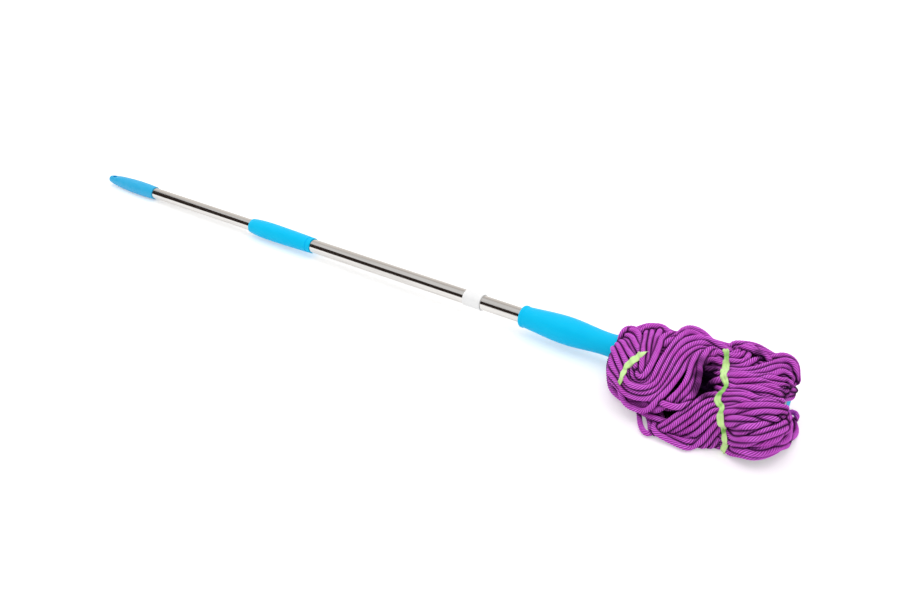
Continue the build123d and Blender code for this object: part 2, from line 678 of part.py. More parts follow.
pieces["hang_cap"] = hang_cap()
pieces["upper_tube"] = ring(upper_tube_top, upper_tube_end, upper_bore, upper_radius)
pieces["mid_grip"] = mid_grip()
pieces["guide_bush"] = guide_bush()
pieces["lock_plug"] = lock_plug()
pieces["lock_collet"] = lock_collet()
pieces["lock_cone"] = lock_cone()
pieces["lock_stop_washer"] = lock_stop_washer()
pieces["lock_stop_screw"] = lock_stop_screw()
pieces["lower_tube"] = ring(lower_tube_top, lower_tube_end, lower_bore, lower_radius) - rivet_hole()
pieces["stop_collar"] = stop_collar()
pieces["wringer_sleeve"] = wringer_sleeve()
pieces["top_bush"] = slide_bush(top_seat + END_PLAY)
pieces["bottom_bush"] = slide_bush(foot_seat + END_PLAY)
pieces["yarn_collar"] = yarn_collar()
pieces["upper_clamp_ring"] = upper_clamp_ring()
pieces["collar_screws"] = collar_screws()
pieces["end_plug"] = end_plug()
pieces["plug_rivet"] = plug_rivet()
pieces["bottom_plate"] = bottom_plate()
pieces["bottom_washer"] = ring(washer_seat, screw_seat, bottom_hole_radius, BOTTOM_WASHER_DIAMETER / 2)
pieces["bottom_screw"] = bottom_screw()
pieces["lower_clamp_ring"] = lower_clamp_ring()
pieces["plate_screws"] = plate_screws()
for number, (first, last) in enumerate(bundle_angles(), start=1):
    pieces[f"upper_yarn_{number:02d}"] = yarn_bundle(UPPER_SECTIONS, first, last)
    pieces[f"lower_yarn_{number:02d}"] = yarn_bundle(LOWER_SECTIONS, first, last)
pieces["ribbon_1"] = ribbon_1()
pieces["ribbon_2"] = ribbon_2()

# Lay the mop on the floor: the pole rises by the tilt, and the origin is under the middle of the whole mop
lean = Rot(0, -math.degrees(tilt), 0)
laid = Pos(0, 0, tip_height * math.cos(tilt)) * lean
box = Compound([laid * piece for piece in pieces.values()]).bounding_box()
placed = Pos(-box.center().X, -box.center().Y, -box.min.Z) * laid

os.makedirs("parts", exist_ok=True)
for name, piece in pieces.items():
    export_step(placed * piece, f"parts/{name}.step")
print("pieces", len(pieces), "box", box.size, "tilt", round(math.degrees(tilt), 4))
print("origin on the pole", placed.position, "lowest point before seating", round(box.min.Z, 4))
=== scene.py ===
# %% [markdown]
# # A twist mop, in cells
# The mop lies on a white floor: two polished tubes, blue mouldings and a head of twisted purple cords.
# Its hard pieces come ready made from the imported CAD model, already in place and in metres.
# This lesson gives those pieces their finishes, and makes the soft pieces, the cords and ribbons, anew.

# %% Load the frame
import json
import math

import bmesh
import bpy
import numpy as np
from mathutils import Matrix, Vector
from mathutils.bvhtree import BVHTree
from mathutils.kdtree import KDTree


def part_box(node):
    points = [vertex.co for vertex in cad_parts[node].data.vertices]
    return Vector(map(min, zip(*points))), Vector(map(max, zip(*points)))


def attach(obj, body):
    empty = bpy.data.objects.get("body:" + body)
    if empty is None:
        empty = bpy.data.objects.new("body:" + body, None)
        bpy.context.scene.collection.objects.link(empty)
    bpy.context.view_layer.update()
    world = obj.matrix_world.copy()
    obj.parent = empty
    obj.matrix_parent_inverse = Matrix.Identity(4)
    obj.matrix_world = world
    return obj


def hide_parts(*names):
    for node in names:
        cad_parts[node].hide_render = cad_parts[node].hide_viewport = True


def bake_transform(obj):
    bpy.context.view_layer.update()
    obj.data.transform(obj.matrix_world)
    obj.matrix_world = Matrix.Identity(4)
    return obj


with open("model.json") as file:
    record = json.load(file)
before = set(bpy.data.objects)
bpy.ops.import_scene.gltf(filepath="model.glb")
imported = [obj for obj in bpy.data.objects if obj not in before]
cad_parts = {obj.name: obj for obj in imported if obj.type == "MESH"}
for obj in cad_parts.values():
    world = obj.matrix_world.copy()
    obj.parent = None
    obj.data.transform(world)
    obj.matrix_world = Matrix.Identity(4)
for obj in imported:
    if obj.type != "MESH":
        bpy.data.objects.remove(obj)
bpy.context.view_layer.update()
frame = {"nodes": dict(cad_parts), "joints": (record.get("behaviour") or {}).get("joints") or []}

MM = 0.001


# %% [markdown]
# ## The camera
# The photograph was measured: the tubes' ends, the grip and the sleeve were matched to the model's points.
# That gave one place and one angle for a lens of 50 mm on a full frame, without shift.
# The camera is built from three unit vectors, which can later turn a pixel into a line of sight as well.

# %% Camera
PHOTO_WIDTH = 920
PHOTO_HEIGHT = 613
FOCAL_PIXELS = 1278
SENSOR_WIDTH = 36
AZIMUTH = math.radians(36.29)
ELEVATION = math.radians(29.35)
CAMERA_AT = Vector((1.09171, -1.30225, 0.93068))

RIGHTWARD = Vector((math.cos(AZIMUTH), math.sin(AZIMUTH), 0))
LEVEL = Vector((-math.sin(AZIMUTH), math.cos(AZIMUTH), 0))
AHEAD = LEVEL * math.cos(ELEVATION) - Vector((0, 0, math.sin(ELEVATION)))
UPWARD = RIGHTWARD.cross(AHEAD)


def add_object(name, data):
    """A new object of the scene, at the origin."""
    thing = bpy.data.objects.new(name, data)
    bpy.context.collection.objects.link(thing)
    return thing


lens = bpy.data.cameras.new("photo_camera")
lens.sensor_width = SENSOR_WIDTH
lens.lens = FOCAL_PIXELS / PHOTO_WIDTH * SENSOR_WIDTH
camera = add_object("photo_camera", lens)
turn = Matrix((RIGHTWARD, UPWARD, -AHEAD)).transposed().to_4x4()
camera.matrix_world = Matrix.Translation(CAMERA_AT) @ turn
bpy.context.scene.camera = camera
print("lens in mm:", round(lens.lens, 2))

# %% [markdown]
# ## Nodes in one line
# A material is a small tree of nodes. Written out call by call, it hides what it does.
# One helper adds a node, sets its properties, and fills or links each named input.
# The others name the few kinds of node that every finish here is made of.

# %% Node helpers
def fill(tree, node, inputs):
    """Set each named input of a node, or link it where a socket is given."""
    for name, value in inputs.items():
        if isinstance(value, bpy.types.NodeSocket):
            tree.links.new(value, node.inputs[name])
        else:
            node.inputs[name].default_value = value


def add_node(tree, kind, inputs=None, **settings):
    """Add a shader node, set its properties, and fill or link its inputs."""
    node = tree.nodes.new("ShaderNode" + kind)
    for name, value in settings.items():
        setattr(node, name, value)
    fill(tree, node, inputs or {})
    return node


def calc(tree, operation, *values, clamp=False):
    """One step of arithmetic."""
    return add_node(tree, "Math", dict(enumerate(values)), operation=operation, use_clamp=clamp).outputs[0]


def remap(tree, value, from_min=0.0, from_max=1.0, to_min=0.0, to_max=1.0):
    """A value carried from one range to another, and kept inside it."""
    ends = {"From Min": from_min, "From Max": from_max, "To Min": to_min, "To Max": to_max}
    return add_node(tree, "MapRange", {"Value": value, **ends}).outputs[0]


def mix(tree, share, first, second):
    """The first colour where the share is 0, and the second where it is 1."""
    return add_node(tree, "Mix", {0: share, 6: first, 7: second}, data_type="RGBA").outputs[2]


def noise(tree, place, scale, detail, roughness=0.5):
    """Soft cloudy noise, around a half."""
    inputs = {"Vector": place, "Scale": scale, "Detail": detail, "Roughness": roughness}
    return add_node(tree, "TexNoise", inputs).outputs["Fac"]


def stretched(tree, place, scale):
    """Coordinates with their own scale in each direction."""
    return add_node(tree, "Mapping", {"Vector": place, "Scale": scale}).outputs[0]


def dented(tree, height, strength, depth):
    """A normal bent by a height, whose full depth is in millimetres."""
    inputs = {"Height": height, "Strength": strength, "Distance": depth * MM}
    return add_node(tree, "Bump", inputs).outputs[0]


def object_place(tree):
    """The place on the piece, in metres."""
    return add_node(tree, "TexCoord").outputs["Object"]


print("nine node helpers")

# %% Colours and new materials
def linear(red, green, blue):
    """A screen colour, 0 to 255, as the linear colour that a shader takes."""
    shares = [part / 255 for part in (red, green, blue)]
    return [s / 12.92 if s <= 0.04045 else ((s + 0.055) / 1.055) ** 2.4 for s in shares] + [1]


def bare_tree(owner):
    """The node tree of a material or world, without its first nodes."""
    owner.use_nodes = True
    owner.node_tree.nodes.clear()
    return owner.node_tree


def new_material(name):
    """A material with its node tree and its Principled shader."""
    material = bpy.data.materials.new(name)
    material.use_nodes = True
    return material, material.node_tree, material.node_tree.nodes["Principled BSDF"]


print("middle grey is", [round(part, 3) for part in linear(128, 128, 128)[:3]])

# %% [markdown]
# ## Floor, world and lamp
# The mop was photographed on white paper under broad soft light, which leaves only a weak shadow under it.
# The world fills from all round, and one big weak lamp overhead gives the shadows their direction.
# For the camera and in mirrors the floor glows a little, so that it turns white but keeps the shadow.
# Far away it glows until it is as white as the world behind it. The lamp itself isn't seen in mirrors.

# %% Floor
FLOOR_SIZE = 7.0
FLOOR_GLOW = 0.38
FADE_FROM = 1.5
FADE_TO = 3.5
PAPER = (0.88, 0.88, 0.88, 1)


def mesh_from(shape, name):
    """A mesh of a finished bmesh, which is then let go."""
    mesh = bpy.data.meshes.new(name)
    shape.to_mesh(mesh)
    shape.free()
    return mesh


shape = bmesh.new()
bmesh.ops.create_grid(shape, x_segments=1, y_segments=1, size=FLOOR_SIZE)
floor = add_object("floor", mesh_from(shape, "floor"))
paper = bpy.data.materials.new("white_paper")
floor.data.materials.append(paper)
tree = bare_tree(paper)
path = add_node(tree, "LightPath").outputs
away = add_node(tree, "VectorMath", {0: object_place(tree)}, operation="LENGTH").outputs["Value"]
seen = calc(tree, "MULTIPLY", path["Is Camera Ray"], remap(tree, away, FADE_FROM, FADE_TO, FLOOR_GLOW, 1.0))
mirrored = calc(tree, "MAXIMUM", path["Is Glossy Ray"], path["Is Transmission Ray"])
glow = calc(tree, "MULTIPLY_ADD", mirrored, FLOOR_GLOW, seen)
matte = add_node(tree, "BsdfDiffuse", {"Color": PAPER}).outputs[0]
lift = add_node(tree, "Emission", {"Strength": glow}).outputs[0]
both = add_node(tree, "AddShader", {0: matte, 1: lift}).outputs[0]
add_node(tree, "OutputMaterial", {"Surface": both})
print("floor of", 2 * FLOOR_SIZE, "m")

# %% World and lamp
FILL_STRENGTH = 0.78
MIRROR_STRENGTH = 0.8
LAMP_WATTS = 20
LAMP_SIZE = 3.2
LAMP_AT = (0.0, 0.15, 2.3)
LAMP_TILT = math.radians(-4)
WHITE = (1, 1, 1, 1)

world = bpy.data.worlds.new("studio")
bpy.context.scene.world = world
tree = bare_tree(world)
path = add_node(tree, "LightPath").outputs
level = remap(tree, path["Is Glossy Ray"], to_min=FILL_STRENGTH, to_max=MIRROR_STRENGTH)
straight = calc(tree, "MAXIMUM", path["Is Camera Ray"], path["Is Transmission Ray"])
strength = remap(tree, straight, to_min=level, to_max=1.0)
sky = add_node(tree, "Background", {"Color": WHITE, "Strength": strength}).outputs[0]
add_node(tree, "OutputWorld", {"Surface": sky})

softbox = bpy.data.lights.new("softbox", "AREA")
softbox.energy = LAMP_WATTS
softbox.size = LAMP_SIZE
lamp = add_object("softbox", softbox)
lamp.location = LAMP_AT
lamp.rotation_euler = (LAMP_TILT, 0, 0)
lamp.visible_glossy = False
bpy.context.scene.view_settings.view_transform = "Standard"
print("fill", FILL_STRENGTH, "lamp", LAMP_WATTS, "W")

# %% [markdown]
# ## A card for the mirrors
# A polished tube in a white room turns white and loses its shape. Photographers set cards round the table,
# out of view, so that the tube shows a dark line along it. One ring does that here for every side:
# low and dark brown on the camera's side, tall and beige on the far side, and darker there towards its top.
# Only reflections see it: it throws no shadow and takes no light away.

# %% Card ring
CARD_RADIUS = 3.4
CARD_HEIGHT = 2.6
CARD_SIDES = 64
FAR_RISE = 3.2

shape = bmesh.new()
bmesh.ops.create_circle(shape, segments=CARD_SIDES, radius=CARD_RADIUS)
walls = bmesh.ops.extrude_edge_only(shape, edges=shape.edges[:])
top = [part for part in walls["geom"] if isinstance(part, bmesh.types.BMVert)]
bmesh.ops.translate(shape, verts=top, vec=(0, 0, CARD_HEIGHT))
for corner in top:
    corner.co.z += FAR_RISE * min(1, max(0, 2 * corner.co.y / CARD_RADIUS))
card = add_object("mirror_card", mesh_from(shape, "mirror_card"))
for sight_kind in ("camera", "diffuse", "transmission", "shadow", "volume_scatter"):
    setattr(card, "visible_" + sight_kind, False)
print("card ring", CARD_RADIUS, "m out and", CARD_HEIGHT, "m tall, on the far side", CARD_HEIGHT + FAR_RISE)

# %% Card paint
SIDE_FADE = 0.6
GRADE_FROM = 1.4
GRADE_TO = 4.6

card_paint = bpy.data.materials.new("card_paint")
card.data.materials.append(card_paint)
tree = bare_tree(card_paint)
parts = add_node(tree, "SeparateXYZ", {0: object_place(tree)}).outputs
high = remap(tree, parts["Z"], GRADE_FROM, GRADE_TO)
beige = mix(tree, high, linear(248, 243, 238), linear(202, 196, 191))
far_side = remap(tree, parts["Y"], -SIDE_FADE, SIDE_FADE)
paint = mix(tree, far_side, linear(52, 44, 40), beige)
shine = add_node(tree, "Emission", {"Color": paint}).outputs[0]
add_node(tree, "OutputMaterial", {"Surface": shine})
print("card paint has", len(tree.nodes), "nodes")

# %% [markdown]
# ## A shared skin for mouldings and metal
# Moulded plastic has a fine grain and faint rub marks, and drawn steel has faint lines along its length.
# Both are noise, read at different sizes and stretched in different ways, so one node group serves them all.
# It gives out a colour, a roughness and a height; the shader itself stays in each material.

# %% Worn skin group
def new_group(name, inputs, outputs):
    """An empty shader group with named inputs and outputs, and its two end nodes."""
    group = bpy.data.node_groups.new(name, "ShaderNodeTree")
    for way, sockets in (("INPUT", inputs), ("OUTPUT", outputs)):
        for label, kind in sockets.items():
            group.interface.new_socket(label, in_out=way, socket_type="NodeSocket" + kind)
    return group, group.nodes.new("NodeGroupInput").outputs, group.nodes.new("NodeGroupOutput")


worn_skin, given, result = new_group(
    "worn_skin",
    {"Grain place": "Vector", "Mark place": "Vector", "Colour": "Color", "Worn colour": "Color",
     "Smooth": "Float", "Rubbed": "Float"},
    {"Colour": "Color", "Roughness": "Float", "Height": "Float"})
marks = noise(worn_skin, given["Mark place"], scale=1.0, detail=6.0, roughness=0.65)
worn = remap(worn_skin, marks, from_min=0.42, from_max=0.72)
fill(worn_skin, result, {
    "Colour": mix(worn_skin, worn, given["Colour"], given["Worn colour"]),
    "Roughness": remap(worn_skin, worn, to_min=given["Smooth"], to_max=given["Rubbed"]),
    "Height": noise(worn_skin, given["Grain place"], scale=1.0, detail=3.0, roughness=0.6)})
print("worn_skin has", len(worn_skin.nodes), "nodes")

# %% [markdown]
# ## Finishes of the hard pieces
# Each finish places the group with its own sizes: the number of grains per metre along, across and up.
# The tubes lie almost along X, so a small number for X and large ones for Y and Z draws lines along them.
# Plain numbers, such as how metallic a thing is, are set on the shader itself.

# %% Hard finishes
GRAIN_DEPTH = 0.2


def skin_finish(name, colour, worn_colour, grain, marks, rough, bump, metallic=0.0, specular=0.5):
    """A Principled material whose colour, roughness and bump come from the worn skin."""
    material, tree, shader = new_material(name)
    place = object_place(tree)
    skin = add_node(tree, "Group", node_tree=worn_skin)
    fill(tree, skin, {
        "Grain place": stretched(tree, place, grain), "Mark place": stretched(tree, place, marks),
        "Colour": colour, "Worn colour": worn_colour, "Smooth": rough[0], "Rubbed": rough[1]})
    fill(tree, shader, {
        "Base Color": skin.outputs["Colour"], "Roughness": skin.outputs["Roughness"],
        "Normal": dented(tree, skin.outputs["Height"], bump, GRAIN_DEPTH),
        "Metallic": metallic, "Specular IOR Level": specular})
    return material


blue = skin_finish("blue_moulding", linear(0, 204, 255), linear(10, 208, 255), specular=0.1,
                   grain=(1400, 1400, 1400), marks=(30, 60, 60), rough=(0.34, 0.46), bump=0.10)
blue_cap = skin_finish("blue_cap", linear(42, 186, 240), linear(62, 192, 242), specular=0.3,
                       grain=(1400, 1400, 1400), marks=(60, 80, 80), rough=(0.38, 0.5), bump=0.12)
white = skin_finish("white_collar", linear(255, 255, 255), linear(250, 250, 251),
                    grain=(1600, 1600, 1600), marks=(60, 60, 60), rough=(0.32, 0.44), bump=0.06)
polished = skin_finish("polished_steel", linear(220, 217, 214), linear(204, 201, 198), metallic=1.0,
                       grain=(6, 1500, 1500), marks=(9, 260, 260), rough=(0.10, 0.17), bump=0.02)
inner = skin_finish("inner_plastic", linear(70, 74, 80), linear(92, 96, 102),
                    grain=(1400, 1400, 1400), marks=(50, 50, 50), rough=(0.42, 0.56), bump=0.12)
screw = skin_finish("screw_steel", linear(178, 178, 182), linear(150, 150, 154), metallic=1.0,
                    grain=(900, 900, 900), marks=(160, 160, 160), rough=(0.24, 0.42), bump=0.08)
print("finishes:", [material.name for material in (blue, blue_cap, white, polished, inner, screw)])

# %% Give every hard node its finish
DRESSED = [
    (blue, ["mid_grip", "wringer_sleeve", "bottom_plate", "yarn_collar"]),
    (blue_cap, ["hang_cap"]),
    (white, ["stop_collar"]),
    (polished, ["upper_tube", "lower_tube"]),
    (inner, ["guide_bush", "lock_plug", "lock_collet", "lock_cone", "top_bush", "bottom_bush", "end_plug",
             "lower_clamp_ring", "upper_clamp_ring"]),
    (screw, ["lock_stop_washer", "lock_stop_screw", "plug_rivet", "plate_screws", "bottom_washer",
             "bottom_screw", "collar_screws"]),
]
for material, names in DRESSED:
    for node_name in names:
        coats = frame["nodes"][node_name].data.materials
        coats.clear()
        coats.append(material)
print("dressed", sum(len(names) for material, names in DRESSED), "hard nodes")

# %% [markdown]
# ## Finding places on the heap
# The cords are the heart of this mop, so each visible one follows its way in the photograph.
# A pixel is a line of sight; where that line meets the CAD model's yarn is a place in space.
# Places that the photograph hides are given round the pole instead: how far along, at what angle, how deep.

# %% Pole axis
wring_twist = next(joint for joint in frame["joints"] if joint["name"] == "wring_twist")
SLEEVE_END = Vector(wring_twist["pos_m"])
POLE = -Vector(wring_twist["axis"]).normalized()
ACROSS = Vector((0, 1, 0))
ABOVE = POLE.cross(ACROSS)
CORD_WIDTH = 7.4
CORD_RADIUS = CORD_WIDTH / 2


def head_place(along, angle, radius):
    """A place in the head: millimetres from the sleeve's end, degrees from the far side, millimetres out."""
    out = ACROSS * math.cos(math.radians(angle)) + ABOVE * math.sin(math.radians(angle))
    return SLEEVE_END + POLE * (along * MM) + out * (radius * MM)


def head_angle(place):
    """The angle round the pole of a place, in degrees from the far side over the top."""
    away = Vector(place) - SLEEVE_END
    return math.degrees(math.atan2(away.dot(ABOVE), away.dot(ACROSS)))


def head_along(place):
    """How far along the pole a place is from the sleeve's end, in millimetres."""
    return (Vector(place) - SLEEVE_END).dot(POLE) / MM


print("sleeve's end in mm:", [round(part / MM, 1) for part in SLEEVE_END])

# %% Lines of sight
SIGHT_TRIES = [1.3 + 0.003 * k for k in range(300)]
UNDER_HEIGHT = 5.0


def surface_of(objects):
    """One surface of several objects' meshes, to cast rays at."""
    corners = []
    faces = []
    for thing in objects:
        first = len(corners)
        corners += [corner.co.copy() for corner in thing.data.vertices]
        faces += [[first + k for k in face.vertices] for face in thing.data.polygons]
    return BVHTree.FromPolygons(corners, faces)


HEAP = surface_of(node for name, node in frame["nodes"].items() if "_yarn_" in name)


def sight(pixel_x, pixel_y):
    """The line of sight through a pixel of the photograph."""
    across = RIGHTWARD * ((pixel_x - PHOTO_WIDTH / 2) / FOCAL_PIXELS)
    down = UPWARD * ((PHOTO_HEIGHT / 2 - pixel_y) / FOCAL_PIXELS)
    return (AHEAD + across + down).normalized()


def pick(pixel_x, pixel_y, sink=0.0, tree=HEAP, radius=CORD_RADIUS):
    """The middle of a cord that shows at a pixel, some millimetres deeper if it is sunk."""
    ray = sight(pixel_x, pixel_y)
    place, normal = tree.ray_cast(CAMERA_AT, ray)[:2]
    if place is None:
        tries = [CAMERA_AT + ray * far for far in SIGHT_TRIES]
        place = min(tries, key=lambda spot: tree.find_nearest(spot)[3])
        normal = Vector((0, 0, 0))
    return place - normal * (radius * MM) + ray * (sink * MM)


def picks(*pixels):
    """A cord's places from its pixels, each with its depth if it is sunk."""
    return [pick(*pixel) for pixel in pixels]


def ground(pixel_x, pixel_y, height=UNDER_HEIGHT):
    """A place under the heap, that height above the floor."""
    ray = sight(pixel_x, pixel_y)
    return CAMERA_AT + ray * ((height * MM - CAMERA_AT.z) / ray.z)


print("the middle pixel looks", [round(part, 2) for part in sight(PHOTO_WIDTH / 2, PHOTO_HEIGHT / 2)])

# %% Places round the pole
LOOK_FROM = 300
BESIDE_A_SLIT = (0, 3, -3)
SLIM_REACH = 24.0
LEAST_RADIUS = 18
CORE_RADIUS = 16


def reach(along, angle):
    """How far the heap stands out from the pole there, in millimetres, or beside a slit between bundles."""
    foot = head_place(along, angle, 0)
    for turned in BESIDE_A_SLIT:
        far = head_place(along, angle + turned, LOOK_FROM)
        hit = HEAP.ray_cast(far, (foot - far).normalized(), LOOK_FROM * MM)[0]
        if hit:
            return (hit - foot).length / MM
    return SLIM_REACH


def skin(along, angle, sink=0.0):
    """The middle of a cord on the heap's skin, where the photograph doesn't show it."""
    return head_place(along, angle, max(reach(along, angle) - CORD_RADIUS - sink, LEAST_RADIUS))


def inside(along, angle, share):
    """A place inside the heap, that share of the way from its core to the skin."""
    return head_place(along, angle, CORE_RADIUS + (reach(along, angle) - CORE_RADIUS) * share)


print("heap reaches", [round(reach(80, angle)) for angle in (0, 90, 180)], "mm far, up and near")

# %% [markdown]
# ## Where the cords run
# The photograph shows five streams. A swirl leaves the sleeve over the left lobe, turns round below an eye
# and climbs to the top of the second ribbon. A few cords edge a dark hollow, and short ones dip into it.
# A fan runs down to the lower outline and folds under. Right of the ribbon, cords stream to the end plate.
# Each cord that shows has its own list of pixels, read one by one; a third number sinks it under its
# neighbours.

# %% Swirl
RING_ALONG = 8
RING_RADIUS = 23


def from_ring(places):
    """Places of a cord, led out of the clamp at the sleeve's end."""
    return [head_place(RING_ALONG, head_angle(places[0]), RING_RADIUS)] + places


swirl_routes = [
    picks((637, 331), (639, 338), (640, 354), (637, 368), (636, 374), (640, 379), (644, 376), (646, 369),
          (651, 361), (657, 347), (663, 334)) + [skin(95, 50, 4), skin(130, 44, 3), skin(148, 42, 3)],
    picks((626, 336), (630, 344), (634, 358), (634, 369), (632, 377), (639, 382), (647, 380), (650, 373),
          (655, 360), (662, 345), (668, 337), (674, 335)) + [skin(125, 58, 5), skin(148, 54, 4)],
    picks((616, 343), (622, 353), (627, 363), (629, 374), (630, 381), (639, 385), (647, 384), (653, 377),
          (658, 365), (665, 352), (675, 340), (681, 335), (686, 332), (692, 331), (698, 333), (704, 337),
          (713, 341, 1), (721, 346, 2)),
    picks((613.5, 347), (615, 356), (621, 370), (624, 377), (628, 384), (638, 388), (650, 388), (657, 382),
          (662, 370), (669, 356), (675, 347), (682, 341), (690, 338), (698, 338), (706, 340), (720, 348, 2)),
    picks((609, 359), (610, 364), (620, 379), (623, 386), (628, 392, 3), (639, 395), (650, 393), (660, 387),
          (666, 376), (671, 366), (678, 354), (686, 346), (697, 342), (708, 343, 1), (718, 348, 4)),
    picks((607, 371), (610, 375), (619, 384), (623, 392), (630, 398), (641, 399), (652, 397), (660, 391),
          (667, 383), (675, 371), (680, 363), (685, 357), (692, 351), (702, 346), (710, 346, 2),
          (718, 350, 8)),
    picks((607, 378), (612, 384), (618, 388), (620, 397), (624, 406), (635, 411), (646, 411), (656, 405),
          (663, 396), (669, 386), (675, 378), (681, 369), (686, 360), (691, 355), (698, 351), (707, 349, 2),
          (718, 353, 9)),
]
print("swirl", len(swirl_routes), "cords")

# %% Eye and top
eye_tail = [inside(80, 175, 0.35), inside(115, 225, 0.4), inside(150, 235, 0.5)]
eye_routes = [
    [skin(38, 22, 3)]
    + picks((661, 327), (656, 338), (651, 350), (647, 361), (643, 371, 3), (641, 378, 14)) + eye_tail,
    [skin(31, 18, 3)]
    + picks((652, 326), (650, 336), (647, 348), (645, 360), (642, 371, 4), (641, 378, 16)) + eye_tail,
    [skin(24, 22, 3)]
    + picks((644, 329), (645, 337), (644, 348), (643, 360), (641, 371, 4), (640, 378, 16)) + eye_tail,
    picks((632, 335), (635, 342), (640, 351), (641, 362), (640, 372, 4), (640, 379, 16)) + eye_tail,
    picks((622, 339), (626, 347), (635, 357), (638, 366), (639, 374, 4), (640, 380, 16)) + eye_tail,
]
top_routes = [
    picks((645, 330, 4), (656, 329, 4), (667, 332, 4), (677, 337, 4), (688, 338, 6), (701, 343, 5),
          (716, 349, 6)),
    picks((640, 336, 8), (655, 334, 8), (668, 338, 8), (680, 343, 8), (692, 344, 9), (705, 348, 8),
          (717, 353, 8)),
    picks((639, 333, 3), (646, 330), (653, 327.5), (660, 327), (666, 329.5), (671, 335, 4))
    + [inside(95, 45, 0.6), inside(125, 42, 0.6), inside(148, 42, 0.7)],
    picks((660, 342, 9), (677, 337, 5), (683, 330), (689, 327.5), (696, 328.5), (703, 332.5), (711, 338.5, 1),
          (720, 345, 3)),
]
print("eye", len(eye_routes), "top", len(top_routes), "cords")

# %% Hollow and its edge
edge_routes = [
    picks((640, 406, 14), (652, 411, 7), (661, 405.6, 2), (669, 398), (678, 392), (683.5, 386), (687, 379.5),
          (690, 371), (691.5, 362.5), (694.5, 356.5), (700, 352), (707, 350, 3), (718, 355, 9)),
    picks((655, 408, 14), (672, 404, 5), (680.5, 397, 2), (687, 389, 2), (691.5, 383, 2), (694, 376.5, 2),
          (696, 367.5, 3), (697.5, 361, 3), (700, 356.5, 4), (708, 353, 7), (718, 357, 11)),
    picks((650, 405, 24), (676, 408, 12), (689, 399.5, 2), (694, 396), (696, 390.5), (698.5, 382.5),
          (700, 373.5), (700.5, 366), (701, 361), (703.5, 355), (708, 352, 1), (713, 350, 4), (719, 352, 8)),
]
crossing_routes = [
    picks((613, 381, 9), (619, 390, 8), (627, 400, 8), (638, 404, 9), (652, 402, 10), (663, 392, 10)),
    picks((612, 376, 14), (619, 384, 14), (627, 394, 14), (640, 399, 14), (655, 396, 14), (666, 388, 14)),
    picks((648, 401, 16), (658, 401, 8), (664, 403), (669, 405.5), (676, 407.5), (682, 408), (687, 405.5),
          (691, 402, 2), (695, 397, 9), (701, 389, 20)) + [inside(140, 170, 0.4)],
]
dips = [
    picks((704, 360, 20), (708, 354.5, 5), (713, 351.5, 1), (718.5, 351, 1), (722, 354)),
    picks((702, 367, 26), (706, 361, 10), (711, 358, 3), (716, 359, 1), (721, 364)),
    picks((702, 388, 34), (705, 379.5, 24), (708, 374, 14), (713, 372, 7), (719, 372, 2)),
    picks((704, 395, 32), (707, 388, 22), (710, 383, 13), (714.5, 381, 6), (720.5, 381, 2)),
]
hollow_routes = [[inside(60, 150 + 8 * k, 0.35), inside(100, 145 + 8 * k, 0.3)] + places
                 for k, places in enumerate(dips)]
print("edge", len(edge_routes) + len(crossing_routes), "hollow", len(hollow_routes), "cords")

# %% Fan
FOLD_HEIGHT = 4


def turned_under(x, y, *above):
    """Places of a cord that runs along the lower outline, under its neighbour, and turns up there."""
    under = [ground(x / 2 + 308, 394), ground(x - 7, y - 17), ground(x - 11, y - 6.5, FOLD_HEIGHT)]
    return under + [pick(x, y)] + picks(*above)


loop_under = [ground(636, 398), ground(639, 412)]
loop_under += [ground(*spot, FOLD_HEIGHT) for spot in ((639, 421), (642, 430), (648, 436))]
outline_under = [ground(660, 424)]
outline_under += [ground(*spot, FOLD_HEIGHT) for spot in (
    (652, 434), (658, 437.5), (665, 440), (672, 443), (679, 446), (687, 449.5))]
fan_routes = [
    loop_under + picks((656, 433), (667, 425), (676, 418), (684, 411), (691, 404.5), (698.5, 399.5),
                       (705, 396.5), (713, 395.5)),
    [ground(636, 394), ground(655, 424)] + picks((654, 438), (669, 430), (684, 417), (691.5, 411),
                                                 (698.5, 405), (706, 400.5), (714, 398.5)),
    turned_under(664, 437, (675, 432), (691, 418), (698.5, 411.5), (705, 406), (714, 402)),
    turned_under(672, 440, (681, 436), (693, 428), (704, 418), (715, 410)),
    turned_under(681, 442.5, (688, 440), (698, 433), (708, 424), (715, 418)),
    outline_under + picks((694, 449), (701, 446), (708, 438), (717, 425)),
    turned_under(702, 449, (707, 447), (711, 442), (715, 438), (720, 432)),
    turned_under(709, 449.5, (713, 447.5), (716, 444), (718, 441.5), (721, 439)),
    turned_under(717, 450, (719, 449), (721, 447.5), (723, 446), (724, 445)),
]
print("fan", len(fan_routes), "cords")

# %% Ways to the end plate
RIM = [(244, 29), (236, 27.5), (229, 23)]
TO_RIM = 0.55
CLAMP_ALONG = 221
CLAMP_RADIUS = 25


def to_plate(places, angle=None):
    """Places of a cord, led from the bulge at the end to the plate's rim and in behind it."""
    last = Vector(places[-1])
    angle = head_angle(last) if angle is None else angle
    rim = [head_place(along, angle, out) for along, out in RIM]
    return places + [last.lerp(rim[0], TO_RIM)] + rim


def under_plate(places):
    """Places of a cord of the filling, led back inside the heap to the clamp ring."""
    last = Vector(places[-1])
    ring = head_place(CLAMP_ALONG, head_angle(last), CLAMP_RADIUS)
    return places + [last.lerp(ring, 0.5), ring]


def over_plate(places, angle, radius):
    """Places of a cord, led over the plate's rim and across the top of its face to the far side."""
    way = [(243, 0, radius + 8), (246, 20, radius), (246, 50, radius - 3), (243, 80, radius + 3),
           (236, 95, 28), (229, 100, 23)]
    return places + [head_place(along, angle - turned, out) for along, turned, out in way]


print("the plate's rim is", RIM[0][0], "mm along")

